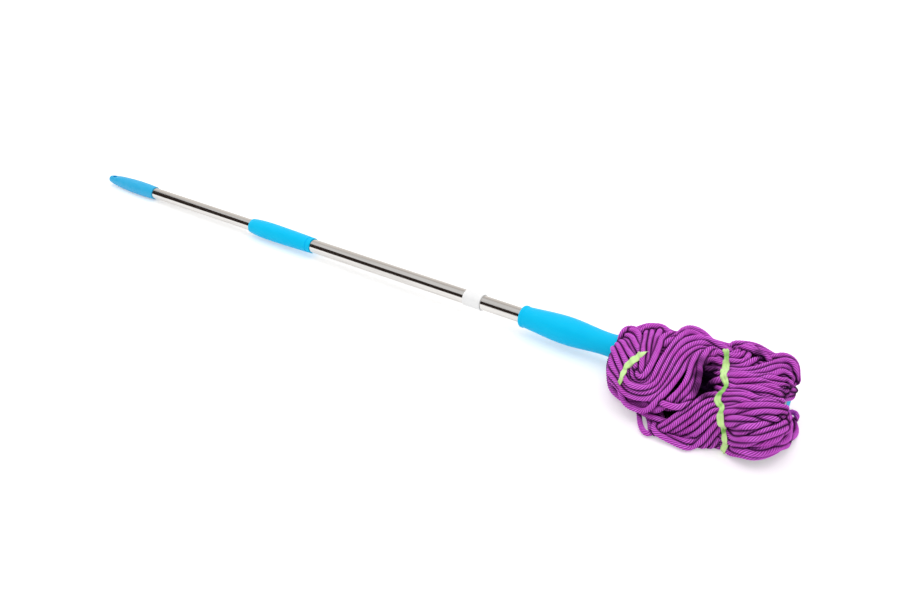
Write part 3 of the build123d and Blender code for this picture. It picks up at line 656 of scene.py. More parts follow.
# %% Crown and upper right lobe
crown_routes = [
    [skin(165, 42), skin(195, 46), skin(220, 48, 3), skin(236, 48, 8)],
    [skin(165, 58), skin(195, 62), skin(220, 62, 3), skin(236, 58, 8)],
    [skin(160, 74, 3), skin(185, 76, 3), skin(212, 72, 4), skin(234, 62, 8)],
    picks((725, 350), (730, 346), (735, 344), (741, 345), (746, 345), (752, 345.5), (758, 347), (763, 350),
          (769, 353), (775, 356.5, 2), (783, 361, 7)),
    picks((729, 355), (733, 353), (738, 351), (742.5, 348), (747, 345, 2))
    + [skin(205, 70, 3), skin(232, 58, 8)],
    picks((730, 360), (738, 362), (745, 360.5), (748, 357), (747.5, 352), (750, 348.5), (755, 348),
          (761, 350), (769, 353.5), (777, 357, 2), (785, 362, 8)),
    picks((731, 357), (739, 356), (743, 354), (745, 352, 1), (747, 348, 5))
    + [skin(200, 78, 8), skin(230, 66, 9)],
]
lobe_routes = [
    picks((731, 364, 5), (737, 366, 2), (743, 366), (750.5, 361), (760, 358), (769.5, 357), (779, 356.5),
          (788, 358), (793, 362), (795, 367), (794.5, 372)),
    picks((731.5, 368), (742.5, 369), (752, 368.5), (761, 366.5), (772, 364.5), (781, 362), (788, 362.5),
          (793, 366), (793.5, 371), (793, 375.5)),
    picks((730, 372), (741, 372), (752, 372), (764, 370), (775, 367.5), (784, 367), (790, 369.5),
          (793.5, 373), (793, 378, 2)),
    picks((730.5, 375), (743.5, 375.5), (755, 376), (767, 375), (777, 373), (784, 372.5), (790, 374.5),
          (793, 377)),
    picks((731.5, 379), (743.5, 378), (755, 378), (767, 378.5), (778, 379), (788, 379.5), (792.5, 381)),
    picks((735, 382), (746.5, 380.5), (758, 380, 1), (769.5, 381), (781, 383), (787, 384), (790.5, 386)),
    picks((732, 385), (743.5, 384), (755, 383.5, 1), (764, 383.5, 1), (772, 385), (782, 388), (787, 389.5),
          (791, 389.5)),
]
print("crown", len(crown_routes), "lobe", len(lobe_routes), "cords")

# %% Middle and lower right lobes
middle_routes = [
    over_plate(picks((733.5, 388), (743.5, 386.5), (755, 387.5), (767, 390.5), (777, 393)), 122, 20),
    over_plate(picks((731, 390, 8), (748, 389, 7), (764, 388.5), (775, 389.5)), 104, 23),
    over_plate(picks((735, 392, 8), (752, 393, 6), (767, 393.5), (774, 396)), 132, 14),
]
waist_routes = [
    picks((726.5, 392.5), (735, 391), (745, 391.5), (755, 394), (765, 397.5), (775, 401), (782, 403)),
    picks((724, 395.5), (734, 394.5), (743.5, 396), (752, 398.5), (761, 400.5), (771, 402), (780, 404)),
    picks((723, 399), (732, 398), (741, 400), (749.5, 403), (757, 405, 2), (770, 406, 5), (780, 407, 4)),
    picks((724, 403.5), (732, 402.5), (741, 403), (749.5, 405.5), (757, 407, 3), (770, 408, 5),
          (780, 408, 4)),
    picks((742, 400, 8), (751, 404, 4), (759, 404), (767, 402.5), (773, 403.5), (781, 406)),
]
low_routes = [
    picks((726, 411), (735, 410), (745, 408), (755, 406.5), (764, 405.5), (772, 406.5), (781, 409),
          (786, 411)),
    picks((726, 413), (738, 413), (749.5, 411), (761, 409.5), (772, 410), (784, 412)),
    picks((726, 416.5), (738, 415), (749.5, 414), (761, 413), (769.5, 414), (778, 415), (784, 415)),
    picks((727, 420, 6), (740, 417), (749.5, 416.5), (758, 417), (765.5, 417.5), (775, 417), (782, 416.5)),
    picks((726.5, 421), (738, 420.5), (747, 420), (758, 419.5), (765.5, 419.5), (775, 419), (782, 417.5)),
    picks((726, 424), (736, 423.5), (746.5, 423), (755, 423), (764, 422, 1), (772, 421, 3), (780, 418, 2)),
    picks((730, 430), (740, 429), (749.5, 428), (757.5, 427), (764, 424.5), (772, 422.5), (780, 419.5)),
    picks((731.5, 434), (741, 433), (749.5, 431.5), (758, 429), (767, 426), (775, 424), (781, 419.5)),
    picks((731, 437), (742.5, 436), (752, 434.5), (761, 432), (769.5, 429), (776, 426), (781.5, 420)),
    picks((732, 439), (743.5, 439), (755, 438), (764, 435.5), (771, 432), (777, 427.5), (782, 421)),
    picks((731.5, 441), (742.5, 442), (752, 441.5), (762.5, 439.5), (771, 436), (777.5, 431), (783, 421)),
    picks((731, 444), (741, 445), (752, 445), (764, 443), (772, 439), (780, 433), (784, 424), (783, 419)),
    picks((730.5, 446), (739, 448), (747, 448.5), (758, 448.5), (767, 446), (775, 442), (783, 436.5),
          (785.5, 429), (784.5, 421)),
    picks((730, 448), (738, 451), (747, 453.5), (758, 454), (768, 452), (777, 447.5), (784, 442), (787, 436),
          (786, 428), (785, 422)),
    picks((730, 450), (738, 455), (746, 458), (754, 459), (764, 458), (772, 454.5), (781, 448), (787, 440),
          (789, 431), (787, 422)),
]
end_routes = [
    picks((760, 446, 10), (775, 444, 9), (786, 441), (791, 440.5), (794.5, 437), (795.5, 432.5), (794.5, 426),
          (793, 421), (790, 417.5), (786, 416)),
    picks((757, 440, 9), (772, 440, 9), (785, 440, 2), (789, 439), (791.5, 434.5), (792, 428), (790, 422),
          (787, 417.5)),
    picks((756, 434, 9), (771, 434, 9), (781, 440, 3), (786.5, 436), (788, 430.5), (787, 424.5),
          (784, 419.5)),
]
print("right", len(middle_routes + waist_routes + low_routes + end_routes), "cords")

# %% Stray loops
stray_uppers = [
    picks((620, 338), (624, 333), (629, 330), (634, 329), (639, 330), (644, 332.5, 3))
    + [inside(62, 84, 0.7), inside(100, 80, 0.55), inside(148, 70, 0.6)],
]
stray_lowers = [
    picks((735, 412, 12), (755, 410, 10), (772, 411, 8), (783, 411, 3), (788, 410), (793, 411), (796.5, 415),
          (796, 421), (791, 426, 3)),
]
print("stray loops:", len(stray_uppers) + len(stray_lowers))

# %% [markdown]
# ## From routes to cords
# Each route becomes a smooth NURBS line, which Blender itself works out when the curve is made a mesh.
# A seeded wander moves it a little in and out and to each side, so that no two cords are alike.
# The far side and the filling inside can't be read off the photograph: they follow simple formulas.

# %% Smooth lines
LINE_POINTS = 60
LINE_ORDER = 3
LINE_STEPS = 8


def add_spline(curve, places, order, steps, cyclic=False):
    """A NURBS spline of the curve, which these places control."""
    spline = curve.splines.new("NURBS")
    spline.points.add(len(places) - 1)
    for point, place in zip(spline.points, places):
        point.co = (*place, 1)
    spline.use_cyclic_u = cyclic
    spline.use_endpoint_u = not cyclic
    spline.order_u = order
    spline.resolution_u = steps
    return spline


def smooth_line(controls, cyclic=False):
    """Points of the NURBS spline that these places control."""
    curve = bpy.data.curves.new("route", "CURVE")
    curve.dimensions = "3D"
    add_spline(curve, controls, LINE_ORDER, LINE_STEPS, cyclic)
    holder = bpy.data.objects.new("route", curve)
    mesh = bpy.data.meshes.new_from_object(holder)
    line = np.array([corner.co for corner in mesh.vertices])
    bpy.data.objects.remove(holder)
    bpy.data.meshes.remove(mesh)
    bpy.data.curves.remove(curve)
    return line


def measures(line):
    """How far along the line each of its points is, in metres."""
    runs = np.linalg.norm(np.diff(line, axis=0), axis=1)
    return np.concatenate([[0], np.cumsum(runs)])


def line_length(line):
    """Length of a line of points, in metres."""
    return float(np.linalg.norm(np.diff(line, axis=0), axis=1).sum())


def evenly(line, count=LINE_POINTS):
    """The same line with that many points, evenly spaced."""
    measure = measures(line)
    stops = np.linspace(0, measure[-1], count)
    return np.stack([np.interp(stops, measure, line[:, k]) for k in range(3)], axis=1)


print("the outline cord is", round(line_length(smooth_line(fan_routes[5])) / MM), "mm long in the fan")

# %% Wandering lines
SEED = 7
WAVE_HEIGHT = 0.9
WAVES = (1.5, 3.0)

wander = np.random.default_rng(SEED)
START = np.array(SLEEVE_END)
AXIS = np.array(POLE)


def sunk(line, depth):
    """A line moved towards the pole by some millimetres."""
    foot = START + np.outer((line - START) @ AXIS, AXIS)
    inward = foot - line
    return line + inward / np.linalg.norm(inward, axis=1)[:, None] * depth * MM


def wavy(line):
    """A line that wanders a little in and out and to each side, but not at its ends."""
    sway = np.sin(np.linspace(0, math.pi, len(line)))[:, None]
    phase = wander.uniform(0, 2 * math.pi, 3)
    turns = wander.uniform(*WAVES, 3)
    waves = np.sin(np.linspace(0, 2 * math.pi, len(line))[:, None] * turns + phase)
    return line + sway * waves * WAVE_HEIGHT * MM


def seen_lines(routes, depth=0.0):
    """Smooth wandering lines of some routes, at one depth below the skin and up to 1 mm deeper."""
    lines = [evenly(smooth_line(places)) for places in routes]
    return [wavy(sunk(line, depth + wander.uniform(0, 1))) for line in lines]


print("each cord wanders by up to", WAVE_HEIGHT, "mm")

# %% Hidden halves
DEEP = 0.8
POLE_TOUCH = 15.5
UPPER_STOPS = (20, 55, 90, 125, 150)
LOWER_STOPS = (172, 192, 208)
SLIM_STOPS = ((172, 1), (196, 0.96), (212, 0.85), (222, 0.68))
HOLLOW_ANGLES = (110, 205)
HOLLOW_ALONGS = (90, 125)
HOLLOW_SHARE = 0.4
LOWER_SWAY = 0.4


def hidden_upper(angle, share, sway):
    """An upper half by formula: from the clamp, or from the pole if deep, along the heap at one angle."""
    deep = share < DEEP
    if deep:
        places = [head_place(22 + 30 * share, angle, POLE_TOUCH)]
    else:
        places = [head_place(RING_ALONG, angle, RING_RADIUS)]
    for along in UPPER_STOPS[1:] if deep else UPPER_STOPS:
        hollow = deep and along in HOLLOW_ALONGS and HOLLOW_ANGLES[0] < angle % 360 < HOLLOW_ANGLES[1]
        swayed = angle + sway * math.sin(along / 28 + angle)
        places.append(inside(along, swayed, share * (HOLLOW_SHARE if hollow else 1)))
    return evenly(smooth_line(places))


def hidden_lower(angle, share, sway):
    """A lower half by formula: along the heap at one angle, then to the plate, or to the pole if deep."""
    swayed = angle + LOWER_SWAY * sway
    if share < DEEP:
        places = [inside(along, swayed, share) for along in LOWER_STOPS]
        places.append(head_place(214 + 10 * share, angle, POLE_TOUCH))
    else:
        places = under_plate([inside(along, swayed, share * slim) for along, slim in SLIM_STOPS])
    return evenly(smooth_line(places))


print("a hidden upper half is", round(line_length(hidden_upper(0, 0.9, 10)) / MM), "mm long")

# %% Seen halves
NEAR_FROM = 142
NEAR_TO = 262

led_in = swirl_routes + edge_routes + crossing_routes + hollow_routes + eye_routes + top_routes + fan_routes
uppers = seen_lines([from_ring(places) for places in led_in])
near_routes = waist_routes + low_routes + end_routes
near_angles = np.linspace(NEAR_FROM, NEAR_TO, len(near_routes))
led_out = [to_plate(places) for places in crown_routes + lobe_routes]
led_out += [to_plate(places, angle) for places, angle in zip(near_routes, near_angles)]
lowers = seen_lines(led_out + middle_routes)
uppers += seen_lines([from_ring(places) for places in stray_uppers])
lowers += seen_lines([to_plate(places, NEAR_TO) for places in stray_lowers])
print(len(uppers), "upper and", len(lowers), "lower halves are seen")

# %% [markdown]
# ## Whole cords
# A cord runs from the sleeve to the plate, but the second ribbon covers its middle, so the photograph shows
# its two halves apart. Each upper half is joined to the free lower half that starts nearest to its end.
# A half without a partner gets a hidden one. Each cord also keeps how easily it gives way to its neighbours:
# the ones read off the photograph hold their place, and the filling yields.

# %% Joined halves
JOIN_REACH = 30 * MM
SEEN_GIVE = 0.3
FILL_GIVE = 1.0
LONE_SHARE = 0.5

gaps = [(float(np.linalg.norm(upper[-1] - lower[0])), i, j)
        for i, upper in enumerate(uppers) for j, lower in enumerate(lowers)]
partner = {}
for gap, i, j in sorted(gaps):
    if gap < JOIN_REACH and i not in partner and j not in partner.values():
        partner[i] = j
halves = [(uppers[i], lowers[j], SEEN_GIVE) for i, j in partner.items()]
for i, upper in enumerate(uppers):
    if i not in partner:
        halves.append((upper, hidden_lower(head_angle(upper[-1]), LONE_SHARE, 0), SEEN_GIVE))
for j, lower in enumerate(lowers):
    if j not in partner.values():
        halves.append((hidden_upper(head_angle(lower[0]), LONE_SHARE, 0), lower, SEEN_GIVE))
print(len(partner), "cords are seen on both sides of the ribbon, of", len(halves))

# %% Filling under the seen cords
UNDER = 8.0
UNDER_SHARE = 0.6

under_uppers = fan_routes[1:-1] + swirl_routes[3::2]
for upper in seen_lines([from_ring(places) for places in under_uppers], UNDER):
    halves.append((upper, hidden_lower(head_angle(upper[-1]), UNDER_SHARE, 0), FILL_GIVE))
under_lowers = crown_routes[3::3] + lobe_routes[::2] + low_routes[1::3]
for lower in seen_lines([under_plate(places) for places in under_lowers], UNDER):
    halves.append((hidden_upper(head_angle(lower[0]), UNDER_SHARE, 0), lower, FILL_GIVE))
print(len(under_uppers) + len(under_lowers), "cords lie under the seen ones")

# %% Far side and core
FAR_CORDS = 30
FAR_TOP = 38
FAR_SWEEP = 205
FAR_SWAY = 7
CROWN_ANGLE = 14
CROWN_SHARE = 0.88
FAR_SHARE = 0.93
FAR_LOWER_SHARE = 0.9
SECOND_LAYER = 0.75
CORE_CORDS = 20
CORE_SHARES = (0.4, 0.66)
CORE_TURN = 6
CORE_SWAY = 25


def add_hidden(angle, upper_share, lower_share, sway):
    """Add a cord that the photograph doesn't show."""
    halves.append((hidden_upper(angle, upper_share, sway), hidden_lower(angle, lower_share, sway), FILL_GIVE))


for k in range(FAR_CORDS):
    angle = FAR_TOP - FAR_SWEEP * k / (FAR_CORDS - 1)
    sway = wander.uniform(-FAR_SWAY, FAR_SWAY)
    add_hidden(angle, FAR_SHARE if angle < CROWN_ANGLE else CROWN_SHARE, FAR_LOWER_SHARE, sway)
    if k % 3 == 1:
        add_hidden(angle, SECOND_LAYER, SECOND_LAYER, -sway)
for k in range(CORE_CORDS):
    angle = 360 * k / CORE_CORDS + wander.uniform(-CORE_TURN, CORE_TURN)
    share = wander.uniform(*CORE_SHARES)
    add_hidden(angle, share, share, wander.uniform(-CORE_SWAY, CORE_SWAY))
print(len(halves), "cords in all")

# %% [markdown]
# ## Letting the heap settle
# Lines drawn from pixels pass through each other; yarn can't. In each round every point is pushed away from
# points of other cords that are nearer than a cord's width, except where the ends are tied at the plate.
# The pushes are smoothed along each cord, so that a cord yields as a whole and keeps its curve.
# Then the cords are moved off the pole and the floor, and out of the hollows that the photograph shows.

# %% One line per cord
STEP = 6.0
END_POINTS = 4

cords = []
joints_at = []
for upper, lower, give in halves:
    whole = np.concatenate([upper, lower])
    to_joint = line_length(upper) + 0.5 * float(np.linalg.norm(lower[0] - upper[-1]))
    share = to_joint / line_length(whole)
    count = int(line_length(whole) / (STEP * MM)) + 1
    cords.append(evenly(whole, count))
    joints_at.append(min(max(int(round(share * (count - 1))), END_POINTS), count - 1 - END_POINTS))
owner = np.repeat(np.arange(len(cords)), [len(cord) for cord in cords])
print(len(owner), "points on", len(cords), "cords")

# %% What keeps cords off
FLOOR_CLEAR = CORD_RADIUS * 1.15
# Stretches of the pole: from, to and radius, in millimetres
KEEP_OFF = [(-40, 16, 22.6), (0, 226, 11.5), (224, 234, 19.2), (233, 241, 23.2)]
# Balls of free space: middle, and radius in millimetres
DARK_HOLLOWS = [
    (pick(709, 367, 10), 11), (pick(705, 379, 10), 11), (pick(703, 391, 9), 11), (pick(757, 357.5, 3), 8),
]
NOTCHES = [
    (pick(678, 326), 9), (pick(723, 340), 7), (head_place(62, 40, 62), 20), (head_place(60, 22, 68), 20),
]


def round_pole(spots):
    """How far along the pole some places are, and the way out to each of them."""
    away = spots - START
    along = away @ AXIS
    return along, away - np.outer(along, AXIS)


def kept_clear(spots):
    """Places moved off the pole and its pieces, out of the hollows and notches, and off the floor."""
    along, away = round_pole(spots)
    out = np.linalg.norm(away, axis=1)
    for low, high, radius in KEEP_OFF:
        least = (radius + CORD_RADIUS) * MM
        close = (along > low * MM) & (along < high * MM) & (out < least) & (out > 1e-6)
        spots[close] += away[close] / out[close][:, None] * (least - out[close])[:, None]
    for middle, radius in DARK_HOLLOWS + NOTCHES:
        away = spots - np.array(middle)
        far = np.linalg.norm(away, axis=1)
        close = far < radius * MM
        spots[close] += away[close] / far[close][:, None] * (radius * MM - far[close])[:, None]
    spots[:, 2] = np.maximum(spots[:, 2], FLOOR_CLEAR * MM)
    return spots


print(len(KEEP_OFF), "stretches of the pole,", len(DARK_HOLLOWS), "hollows,", len(NOTCHES), "notches")

# %% Settle
ROUNDS = 50
TIED_ALONG = 236
TIED_RADIUS = 52
NEAR = CORD_WIDTH * 0.97 * MM
OWN_POINTS = 4
PUSH_SHARE = 0.6
HOLD_SHARE = 0.985


def search_tree(spots):
    """A tree that finds the places near a place."""
    tree = KDTree(len(spots))
    for k, spot in enumerate(spots):
        tree.insert(spot, k)
    tree.balance()
    return tree


def crowding(spots, give, tied):
    """The push on each place from the places of other cords that are too near."""
    tree = search_tree(spots)
    push = np.zeros_like(spots)
    for k, spot in enumerate(spots):
        for _, other, gap in tree.find_range(spot, NEAR):
            if other <= k or (owner[other] == owner[k] and other - k < OWN_POINTS):
                continue
            if tied[k] and tied[other]:
                continue
            away = spot - spots[other]
            shove = away / max(gap, 1e-5) * (NEAR - gap) / (give[k] + give[other])
            push[k] += shove * give[k]
            push[other] -= shove * give[other]
    return push


def soften(rows):
    """Ease each row, apart from the first and last, towards the rows beside it."""
    rows[1:-1] = 0.25 * rows[:-2] + 0.5 * rows[1:-1] + 0.25 * rows[2:]


def settle(cords, rounds):
    """Push overlapping cords apart, and off whatever they must keep clear of."""
    first = np.cumsum([0] + [len(cord) for cord in cords])
    start = np.concatenate(cords)
    give = np.array([halves[k][2] for k in owner])
    along, away = round_pole(start)
    tied = (along > TIED_ALONG * MM) & (np.linalg.norm(away, axis=1) < TIED_RADIUS * MM)
    spots = start.copy()
    for _ in range(rounds):
        moved = spots + crowding(spots, give, tied) * PUSH_SHARE - start
        for low, high in zip(first[:-1], first[1:]):
            soften(moved[low:high])
            moved[low] = 0
            moved[high - 1] = 0
        spots = kept_clear(start + moved * HOLD_SHARE)
    return [spots[low:high] for low, high in zip(first[:-1], first[1:])]


cords = settle(cords, ROUNDS)
print(len(cords), "cords,", round(sum(line_length(cord) for cord in cords), 1), "m in all")

# %% [markdown]
# ## Cords of six twisted plies
# A mop cord is six soft plies laid round each other. A curve's bevel can take any outline, so the outline
# is a clover of six lobes, and turning it along the curve with tilt twists the lobes into plies.
# Made a mesh, the cord has real plies that catch the light, and a UV map that runs along and round it.

# %% Clover outline
PLIES = 6
OUTLINE_POINTS = 24
GROOVE_DEPTH = 0.28
LOBE_ROUNDNESS = 0.7
FULLNESS = 1.04

outline = bpy.data.curves.new("ply_outline", "CURVE")
outline.dimensions = "2D"
loop = outline.splines.new("POLY")
loop.points.add(OUTLINE_POINTS - 1)
for k, point in enumerate(loop.points):
    angle = 2 * math.pi * k / OUTLINE_POINTS
    swell = abs(math.cos(angle * PLIES / 2)) ** LOBE_ROUNDNESS
    radius = CORD_RADIUS * FULLNESS * MM * (1 - GROOVE_DEPTH * (1 - swell))
    point.co = (radius * math.cos(angle), radius * math.sin(angle), 0, 1)
loop.use_cyclic_u = True
outline_object = add_object("ply_outline", outline)
print("clover of", OUTLINE_POINTS, "points")

# %% Twisted meshes
LAY = 25.0
CORD_ORDER = 4
CORD_STEPS = 4
THICKNESS = (0.94, 1.07)
SWELL = 0.03
SWELL_EVERY = 19.0
SQUEEZE_OVER = 36.0
END_THICKNESS = 0.55


def twist_spline(spline, line, squeezed):
    """Turn a cord's outline along it, and vary its thickness, thin at its end if it is squeezed there."""
    thick = wander.uniform(*THICKNESS)
    whole = line_length(line)
    for point, run in zip(spline.points, measures(line)):
        point.tilt = -2 * math.pi * run / (LAY * MM)
        point.radius = thick * (1 + SWELL * math.sin(run / (SWELL_EVERY * MM)))
        if squeezed:
            from_end = (whole - run) / (SQUEEZE_OVER * MM)
            point.radius *= min(1, END_THICKNESS + (1 - END_THICKNESS) * from_end)


def twisted_mesh(name, lines, squeezed):
    """One mesh of several twisted cords along lines of points, with UVs that count lays along each cord."""
    curve = bpy.data.curves.new(name, "CURVE")
    curve.dimensions = "3D"
    curve.bevel_mode = "OBJECT"
    curve.bevel_object = outline_object
    curve.use_fill_caps = True
    for line in lines:
        twist_spline(add_spline(curve, line, CORD_ORDER, CORD_STEPS), line, squeezed)
    holder = add_object(name, curve)
    bpy.context.view_layer.update()
    ready = holder.evaluated_get(bpy.context.evaluated_depsgraph_get())
    mesh = bpy.data.meshes.new_from_object(ready)
    bpy.data.objects.remove(holder)
    bpy.data.curves.remove(curve)
    chart = np.empty(2 * len(mesh.loops), np.float32)
    mesh.uv_layers[0].data.foreach_get("uv", chart)
    chart[0::2] *= sum(line_length(line) for line in lines) / len(lines) / (LAY * MM)
    mesh.uv_layers[0].data.foreach_set("uv", chart)
    mesh.name = name
    mesh.shade_smooth()
    return mesh


print("one lay is", LAY, "mm")

# %% [markdown]
# ## How open each place lies
# Light hardly gets between cords that touch, or deep into the heap, and the real gaps are nearly black.
# Lamps alone leave them too pale, so each corner of the mesh carries a number by which its finish paints
# shade there.
# It falls towards 0 near another cord, under the heap's skin and in the hollows, and is 1 in the open.

# %% Depth below the skin
CLOSE_STEP = 2.0
DARK_DEPTH = 20.0
SKIN_LIGHT = 1.35
LEAST_LIGHT = 0.1
END_FROM = 205
END_LOOK = 200 * MM
SHADE_FROM = 0.8
SHADE_OVER = 0.9
HOLLOW_LIGHT = 0.3

fine_cords = [evenly(cord, int(line_length(cord) / (CLOSE_STEP * MM)) + 2) for cord in cords]
fine_owner = np.repeat(np.arange(len(cords)), [len(cord) for cord in fine_cords])
fine_spots = np.concatenate(fine_cords)


def depth_of(spot):
    """How far a place lies below the CAD heap's skin or behind its open end, in millimetres."""
    place = Vector(spot)
    along = head_along(place)
    below = reach(along, head_angle(place)) - (place - SLEEVE_END - POLE * (along * MM)).length / MM
    if along < END_FROM:
        return below
    hit = HEAP.ray_cast(place + POLE * END_LOOK, -POLE, END_LOOK)[0]
    return min(below, (hit - place).dot(POLE) / MM if hit else 0)


fine_depth = np.array([depth_of(spot) for spot in fine_spots])
fine_light = np.clip(SKIN_LIGHT - fine_depth / DARK_DEPTH, LEAST_LIGHT, 1)
for middle, radius in DARK_HOLLOWS:
    far = np.linalg.norm(fine_spots - np.array(middle), axis=1) / (radius * MM)
    fine_light *= np.clip((far - SHADE_FROM) / SHADE_OVER, HOLLOW_LIGHT, 1)
print("light is read at", len(fine_spots), "points, on average", round(float(fine_light.mean()), 2))

# %% Openness
CLOSE_FROM = CORD_RADIUS * 0.9
CLOSE_TO = CORD_RADIUS * 1.9
NEIGHBOURS = 12

fine_tree = search_tree(fine_spots)


def mark_openness(mesh):
    """Write on each corner of the mesh how open it is, for the yarn's painted shade: 0 between touching
    cords, 1 in the open.
    """
    openness = np.empty(len(mesh.vertices), np.float32)
    for k, corner in enumerate(mesh.vertices):
        found = fine_tree.find_n(corner.co, NEIGHBOURS)
        own = fine_owner[found[0][1]]
        gap = next((gap for _, other, gap in found if fine_owner[other] != own), CLOSE_TO * MM)
        free = min(max((gap / MM - CLOSE_FROM) / (CLOSE_TO - CLOSE_FROM), 0), 1)
        openness[k] = free * fine_light[found[0][1]]
    mesh.attributes.new("openness", "FLOAT", "POINT").data.foreach_set("value", openness)


print("a gap is closed at", round(CLOSE_FROM, 1), "mm and open at", round(CLOSE_TO, 1), "mm")

# %% [markdown]
# ## Microfibre
# Each ply is a bundle of fine fibres; its crest gets a painted highlight and the groove beside it painted
# shade, over the real plies.
# The UV map runs round the cord, so a cosine of it tells crest from groove, and stretched noise is the fibre.
# The dye drifts a little from place to place, and where a corner isn't open the yarn is painted almost black,
# a painted shade.
# Sheen gives the soft pale edge that fibre has at a glancing view.

# %% Yarn finish
FIBRE_SCALE = (9.0, 46.0, 1.0)
FIBRE_SHARE = 0.9
FIBRE_DEPTH = 0.6

yarn, tree, shader = new_material("microfibre_yarn")
chart = add_node(tree, "UVMap", uv_map="UVMap").outputs[0]
parts = add_node(tree, "SeparateXYZ", {0: chart}).outputs
around = calc(tree, "MULTIPLY", parts["Y"], math.pi * PLIES)
crest = calc(tree, "ABSOLUTE", calc(tree, "COSINE", around))
fibre = noise(tree, stretched(tree, chart, FIBRE_SCALE), scale=1.0, detail=4.0)
uneven = calc(tree, "MULTIPLY_ADD", fibre, FIBRE_SHARE, -FIBRE_SHARE / 2)
level = calc(tree, "ADD", crest, uneven, clamp=True)
# Painted shade in each ply's groove and painted highlight on its crest, roughened by the fibre noise.
shade = mix(tree, level, linear(58, 0, 74), linear(252, 118, 255))
cloud = noise(tree, object_place(tree), scale=45.0, detail=3.0)
drift = remap(tree, cloud, from_min=0.4, from_max=0.7, to_max=0.4)
# Random drift of the dye, laid over the painted ply shade.
dye_and_painted_shade = mix(tree, drift, shade, linear(194, 44, 182))
openness = add_node(tree, "Attribute", attribute_name="openness").outputs["Fac"]
lit = remap(tree, openness, from_min=0.16)
# Painted shade: the yarn turns near black where a corner isn't open.
fill(tree, shader, {
    "Base Color": mix(tree, lit, linear(18, 0, 26), dye_and_painted_shade),
    "Normal": dented(tree, fibre, strength=0.8, depth=FIBRE_DEPTH),
    "Roughness": 0.85, "Specular IOR Level": 0.05,
    "Sheen Weight": 0.12, "Sheen Roughness": 0.4, "Sheen Tint": linear(232, 130, 240)})
print("yarn finish has", len(tree.nodes), "nodes")

# %% [markdown]
# ## Bundles
# The CAD model holds the yarn as twelve bundles above the second ribbon and twelve below it.
# The cords are sorted by their angle round the pole and shared out, so each set of cords stands for a bundle.
# Each set of cords takes the place of its CAD bundle, which is hidden.

# %% Seam under the second ribbon
BUNDLES = 12
SEAM_ALONG = 156
SEAM_SLANT = 0.5
SLEEVE_SIDE = 36
PLATE_SIDE = 225


def node_angle(name):
    """The angle of a CAD bundle's middle round the pole, from 0 to 360 degrees."""
    low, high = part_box(name)
    return head_angle((Vector(low) + Vector(high)) / 2) % 360


order = sorted(range(len(cords)), key=lambda k: head_angle(cords[k][joints_at[k]]) % 360)
groups = np.array_split(np.array(order), BUNDLES)
print("cords per bundle:", [len(group) for group in groups])

# %% Cut at the seam and share out
pieces = []
for part, body_a, body_b, start, end in (
        ("upper", "wring_carriage", "wringer", SEAM_ALONG, SLEEVE_SIDE),
        ("lower", "lower_pole", "wring_carriage", PLATE_SIDE, SEAM_ALONG)):
    names = sorted([f"{part}_yarn_{k:02d}" for k in range(1, BUNDLES + 1)], key=node_angle)
    for name, group in zip(names, groups):
        if part == "upper":
            lines = [cords[k][:joints_at[k] + 1] for k in group]
        else:
            lines = [cords[k][joints_at[k]:] for k in group]
        title = name.replace("yarn", "cords")
        piece = add_object(title, twisted_mesh(title, lines, part == "lower"))
        mark_openness(piece.data)
        piece.data.materials.append(yarn)
        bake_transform(piece)
        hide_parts(name)
        pieces.append(piece)
bpy.data.objects.remove(outline_object)
triangles = sum(len(face.vertices) - 2 for piece in pieces for face in piece.data.polygons)
print(len(pieces), "bundles of cords,", triangles, "triangles")

# %% [markdown]
# ## Ribbons
# Two thin woven ribbons are sewn round the cords to keep them in order. The second goes right round the head;
# the first shows on the left lobe and dips between the cords at both ends.
# Each starts as rows across a smooth line. The rows drop onto the cords and are drawn tight over the valleys.
# Where a ribbon lies narrow it is gathered, so its width stands up in pleats.

# %% Dropped rows
CORDS = surface_of(pieces)
RIBBON_WIDTH = 11.0
RIBBON_COLUMNS = 13
DROP_FROM = 30 * MM
DROP_OVER = 50 * MM
MISSED = -4 * MM


def outward(place):
    """The direction straight out from the pole at a place."""
    away = Vector(place) - SLEEVE_END
    return (away - POLE * away.dot(POLE)).normalized()


def beside(rows, closed):
    """The row before each row of a ribbon, and the row after it."""
    steps = np.arange(rows)
    if closed:
        return (steps - 1) % (rows - 1), (steps + 1) % (rows - 1)
    return np.maximum(steps - 1, 0), np.minimum(steps + 1, rows - 1)


def dropped(line, wide, closed):
    """A ribbon's flat rows, the way out from the pole at each, and the cords' height over each place."""
    before, after = beside(len(line), closed)
    flat = np.empty((len(line), RIBBON_COLUMNS, 3))
    out = np.empty((len(line), 3))
    rest = np.empty((len(line), RIBBON_COLUMNS))
    for k, middle in enumerate(line):
        normal = outward(middle)
        side = Vector(line[after[k]] - line[before[k]]).cross(normal).normalized()
        out[k] = normal
        for column, share in enumerate(np.linspace(-0.5, 0.5, RIBBON_COLUMNS)):
            foot = Vector(middle) + side * (share * wide[k] * RIBBON_WIDTH * MM)
            flat[k, column] = foot
            hit = CORDS.ray_cast(foot + normal * DROP_FROM, -normal, DROP_OVER)[0]
            rest[k, column] = (hit - foot).dot(normal) if hit else MISSED
    return flat, out, rest


print("cord surface of", sum(len(piece.data.polygons) for piece in pieces), "faces")

# %% Draped heights
SAG = 3 * MM
RISE = 2.5 * MM
TIGHTENINGS = 10
EASINGS = 3
PLEATS = 2


def eased(line, controls, values):
    """A value for each row of the ribbon, eased from control to control."""
    nearest = [min(range(len(controls)), key=lambda k: (Vector(spot) - controls[k]).length) for spot in line]
    rows = np.array([values[k] for k in nearest], float)
    for _ in range(EASINGS):
        soften(rows)
    return rows


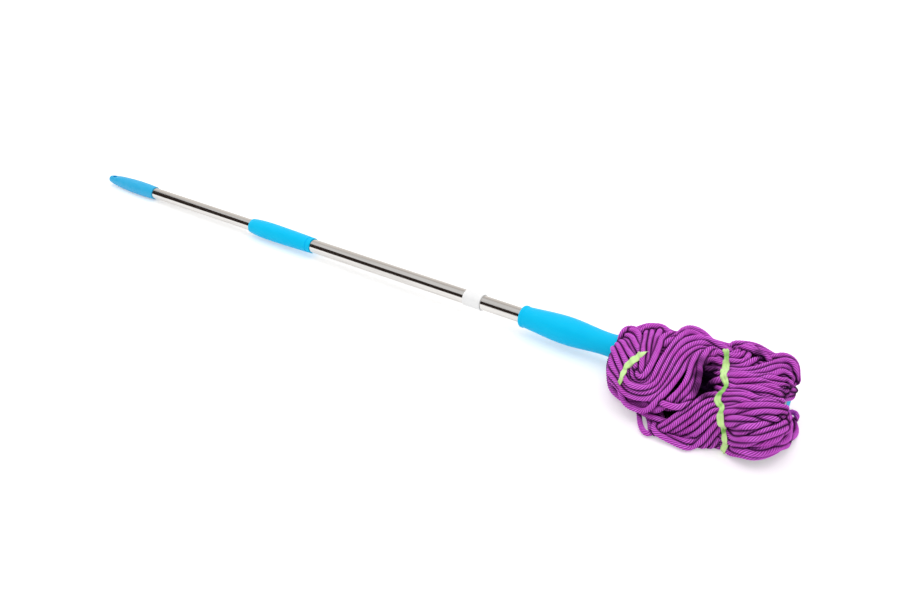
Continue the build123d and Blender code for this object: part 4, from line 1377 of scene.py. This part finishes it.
def drawn_tight(rest, closed):
    """Heights of a ribbon that lies on the cords and bridges the valleys between them."""
    before, after = beside(len(rest), closed)
    middle = np.median(rest, axis=1, keepdims=True)
    rest = np.clip(rest, middle - SAG, middle + RISE)
    lift = rest.copy()
    for _ in range(TIGHTENINGS):
        along = np.roll(lift, 1, 0) + np.roll(lift, -1, 0) if closed else lift[before] + lift[after]
        padded = np.pad(lift, ((0, 0), (1, 1)), mode="edge")
        lift = np.maximum(rest, 0.25 * along + 0.25 * (padded[:, :-2] + padded[:, 2:]))
    return lift


def pleat_heights(wide):
    """How high the pleats stand at each place, so that a narrow row still holds the ribbon's full width."""
    across = np.linspace(-0.5, 0.5, RIBBON_COLUMNS)
    height = wide * RIBBON_WIDTH * MM * 2 / (math.pi * PLEATS) * np.sqrt(1 / wide - 1)
    return height[:, None] * (0.5 - 0.5 * np.cos(2 * math.pi * PLEATS * (across + 0.5)))[None, :]


print("at half its width a pleat is", round(float(pleat_heights(np.array([0.5])).max()) / MM, 1), "mm high")

# %% Ribbon pieces
RIBBON_STEP = 1.4
RIBBON_CLEAR = 0.9 * MM
CRINKLE = 0.35 * MM
FLOOR_GAP = 1.0 * MM
WELD = 0.02 * MM


def ribbon_mesh(name, places, wide, closed):
    """A mesh of a ribbon's rows, with a UV map and a note of how far each row is gathered."""
    shape = bmesh.new()
    shape.loops.layers.uv.new("UVMap")
    bmesh.ops.create_grid(shape, x_segments=RIBBON_COLUMNS - 1, y_segments=len(places) - 1, size=1,
                          calc_uvs=True)
    shape.verts.ensure_lookup_table()
    gathered = shape.verts.layers.float.new("gathered")
    for k, corner in enumerate(shape.verts):
        row, column = divmod(k, RIBBON_COLUMNS)
        corner.co = places[row, column]
        corner[gathered] = 1 - wide[row]
    if closed:
        bmesh.ops.remove_doubles(shape, verts=shape.verts[:], dist=WELD)
    bmesh.ops.recalc_face_normals(shape, faces=shape.faces[:])
    mesh = mesh_from(shape, name)
    mesh.shade_smooth()
    return mesh


def ribbon(name, controls, shares, tucks, closed):
    """A ribbon along a line of places, draped over the cords and gathered where it lies narrow."""
    line = smooth_line(controls, closed)
    if closed:
        line = np.concatenate([line, line[:1]])
    line = evenly(line, int(line_length(line) / (RIBBON_STEP * MM)) + 1)
    wide = eased(line, controls, shares)
    tuck = eased(line, controls, tucks) * MM
    crinkle = wander.normal(0, CRINKLE, len(line))
    flat, out, rest = dropped(line, wide, closed)
    over = (np.abs(crinkle) - tuck)[:, None]
    lift = drawn_tight(rest, closed) + RIBBON_CLEAR + pleat_heights(wide) + over
    places = flat + out[:, None, :] * lift[:, :, None]
    places[:, :, 2] = np.maximum(places[:, :, 2], FLOOR_GAP)
    if closed:
        places[-1] = places[0]
    piece = add_object(name, ribbon_mesh(name, places, wide, closed))
    return piece, line_length(places[:, RIBBON_COLUMNS // 2])


print("ribbons get a row every", RIBBON_STEP, "mm")

# %% Second ribbon
SECOND_WIDEST = 0.85
SEAM_SWING = 55
ON_SKIN = -4
LOW_TURN = (201, 212)
UNSEEN_ANGLES = range(232, 445, 14)
HIDDEN_FROM = 390
TUCKED = 20
END_TUCKED = 16
UNSEEN_WIDTHS = (0.9, 0.75)

second_route = [
    (725, 352, 0.8), (726, 354, 0.75), (726.5, 356.5, 0.6), (726.5, 361, 0.6), (726.5, 366, 0.95),
    (724.5, 371, 1.0), (723.5, 375, 0.8), (725.5, 380, 0.8), (727, 384, 0.7), (726.5, 387, 0.55),
    (724, 390.5, 0.6), (720, 393.5, 0.55), (718, 398, 0.75), (718.5, 401.5, 0.75), (721.5, 405, 0.6),
    (723, 408.5, 0.75), (722, 411, 0.6), (721, 414.5, 0.85), (721, 420, 0.9), (723.5, 426, 0.85),
    (724, 429, 0.6), (724.5, 432, 0.5), (725, 435, 0.9), (725, 441, 1.0), (725.5, 446, 0.85),
]
second_line = [pick(x, y, tree=CORDS, radius=0) for x, y, share in second_route]
second_shares = [share * SECOND_WIDEST for x, y, share in second_route]
second_tucks = [-2, -2, -1] + [0] * 11 + [-1] * 3 + [0] * 9
second_line.append(skin(*LOW_TURN, ON_SKIN))
for angle in UNSEEN_ANGLES:
    along = SEAM_ALONG - SEAM_SLANT * SEAM_SWING * math.cos(math.radians(angle))
    second_line.append(skin(along, angle, ON_SKIN))
    second_tucks.append(TUCKED if angle > HIDDEN_FROM else 0)
second_line.append(pick(724.5, 349.5, 5, tree=CORDS, radius=0))
second_tucks.append(END_TUCKED)
second_shares += [UNSEEN_WIDTHS[k % 2] for k in range(len(second_line) - len(second_shares))]
second, second_length = ribbon("gather_ribbon", second_line, second_shares, second_tucks, True)
print("second ribbon of", round(second_length / MM), "mm")

# %% First ribbon
FIRST_WIDEST = 0.8

first_route = [
    (646, 351.5, 9, 1.15), (643.5, 353.5, 0, 1.2), (640, 356, 0, 1.2), (635.5, 359.5, 0, 1.2),
    (629.5, 364.5, 0, 1.1), (626, 368, 0, 0.75), (624, 373, 0, 0.95), (622, 378, 0, 0.8),
    (620.5, 382, 0, 0.7), (619, 385, 6, 0.7),
]
first_line = [pick(x, y, sink, tree=CORDS, radius=0) for x, y, sink, share in first_route]
first_shares = [share * FIRST_WIDEST for x, y, sink, share in first_route]
first_tucks = [18, -1] + [0] * (len(first_route) - 3) + [10]
first, first_length = ribbon("lobe_ribbon", first_line, first_shares, first_tucks, False)
print("first ribbon of", round(first_length / MM), "mm")

# %% [markdown]
# ## Woven ribbon
# The ribbon is a bright pale green weave of fine threads, with painted shade where it is bunched together
# into folds.
# The UV map runs across and along it, so noise read in small steps of both draws the threads, and the number
# written on each gathered row says where it is bunched. Solidify then gives the grid the thickness of cloth.

# %% Ribbon finish
THREAD_SCALE = (26.0, 320.0, 1.0)
THREAD_DEPTH = 0.2
CLOTH_THICKNESS = 0.5

satin, tree, shader = new_material("green_ribbon")
chart = add_node(tree, "UVMap", uv_map="UVMap").outputs[0]
weave = noise(tree, stretched(tree, chart, THREAD_SCALE), scale=1.0, detail=2.0)
patch = noise(tree, object_place(tree), scale=160.0, detail=3.0)
tone = mix(tree, patch, linear(216, 255, 160), linear(246, 255, 220))
thread = mix(tree, weave, linear(198, 250, 140), tone)
bunched = add_node(tree, "Attribute", attribute_name="gathered").outputs["Fac"]
# Painted shade where the ribbon is gathered: darker green at its folds.
painted_fold_shade = remap(tree, bunched, from_min=0.35, from_max=0.54, to_max=0.85)
fill(tree, shader, {
    "Base Color": mix(tree, painted_fold_shade, thread, linear(104, 196, 44)),
    "Normal": dented(tree, weave, strength=0.35, depth=THREAD_DEPTH),
    "Roughness": 0.48, "Specular IOR Level": 0.35, "Sheen Weight": 0.2})
for piece in (first, second):
    piece.data.materials.append(satin)
    cloth = piece.modifiers.new("cloth", "SOLIDIFY")
    cloth.thickness = CLOTH_THICKNESS * MM
    cloth.offset = 1
print("ribbon finish has", len(tree.nodes), "nodes")

# %% Ride of the ribbons
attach(second, "wring_carriage")
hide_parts("ribbon_2")
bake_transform(first)
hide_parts("ribbon_1")
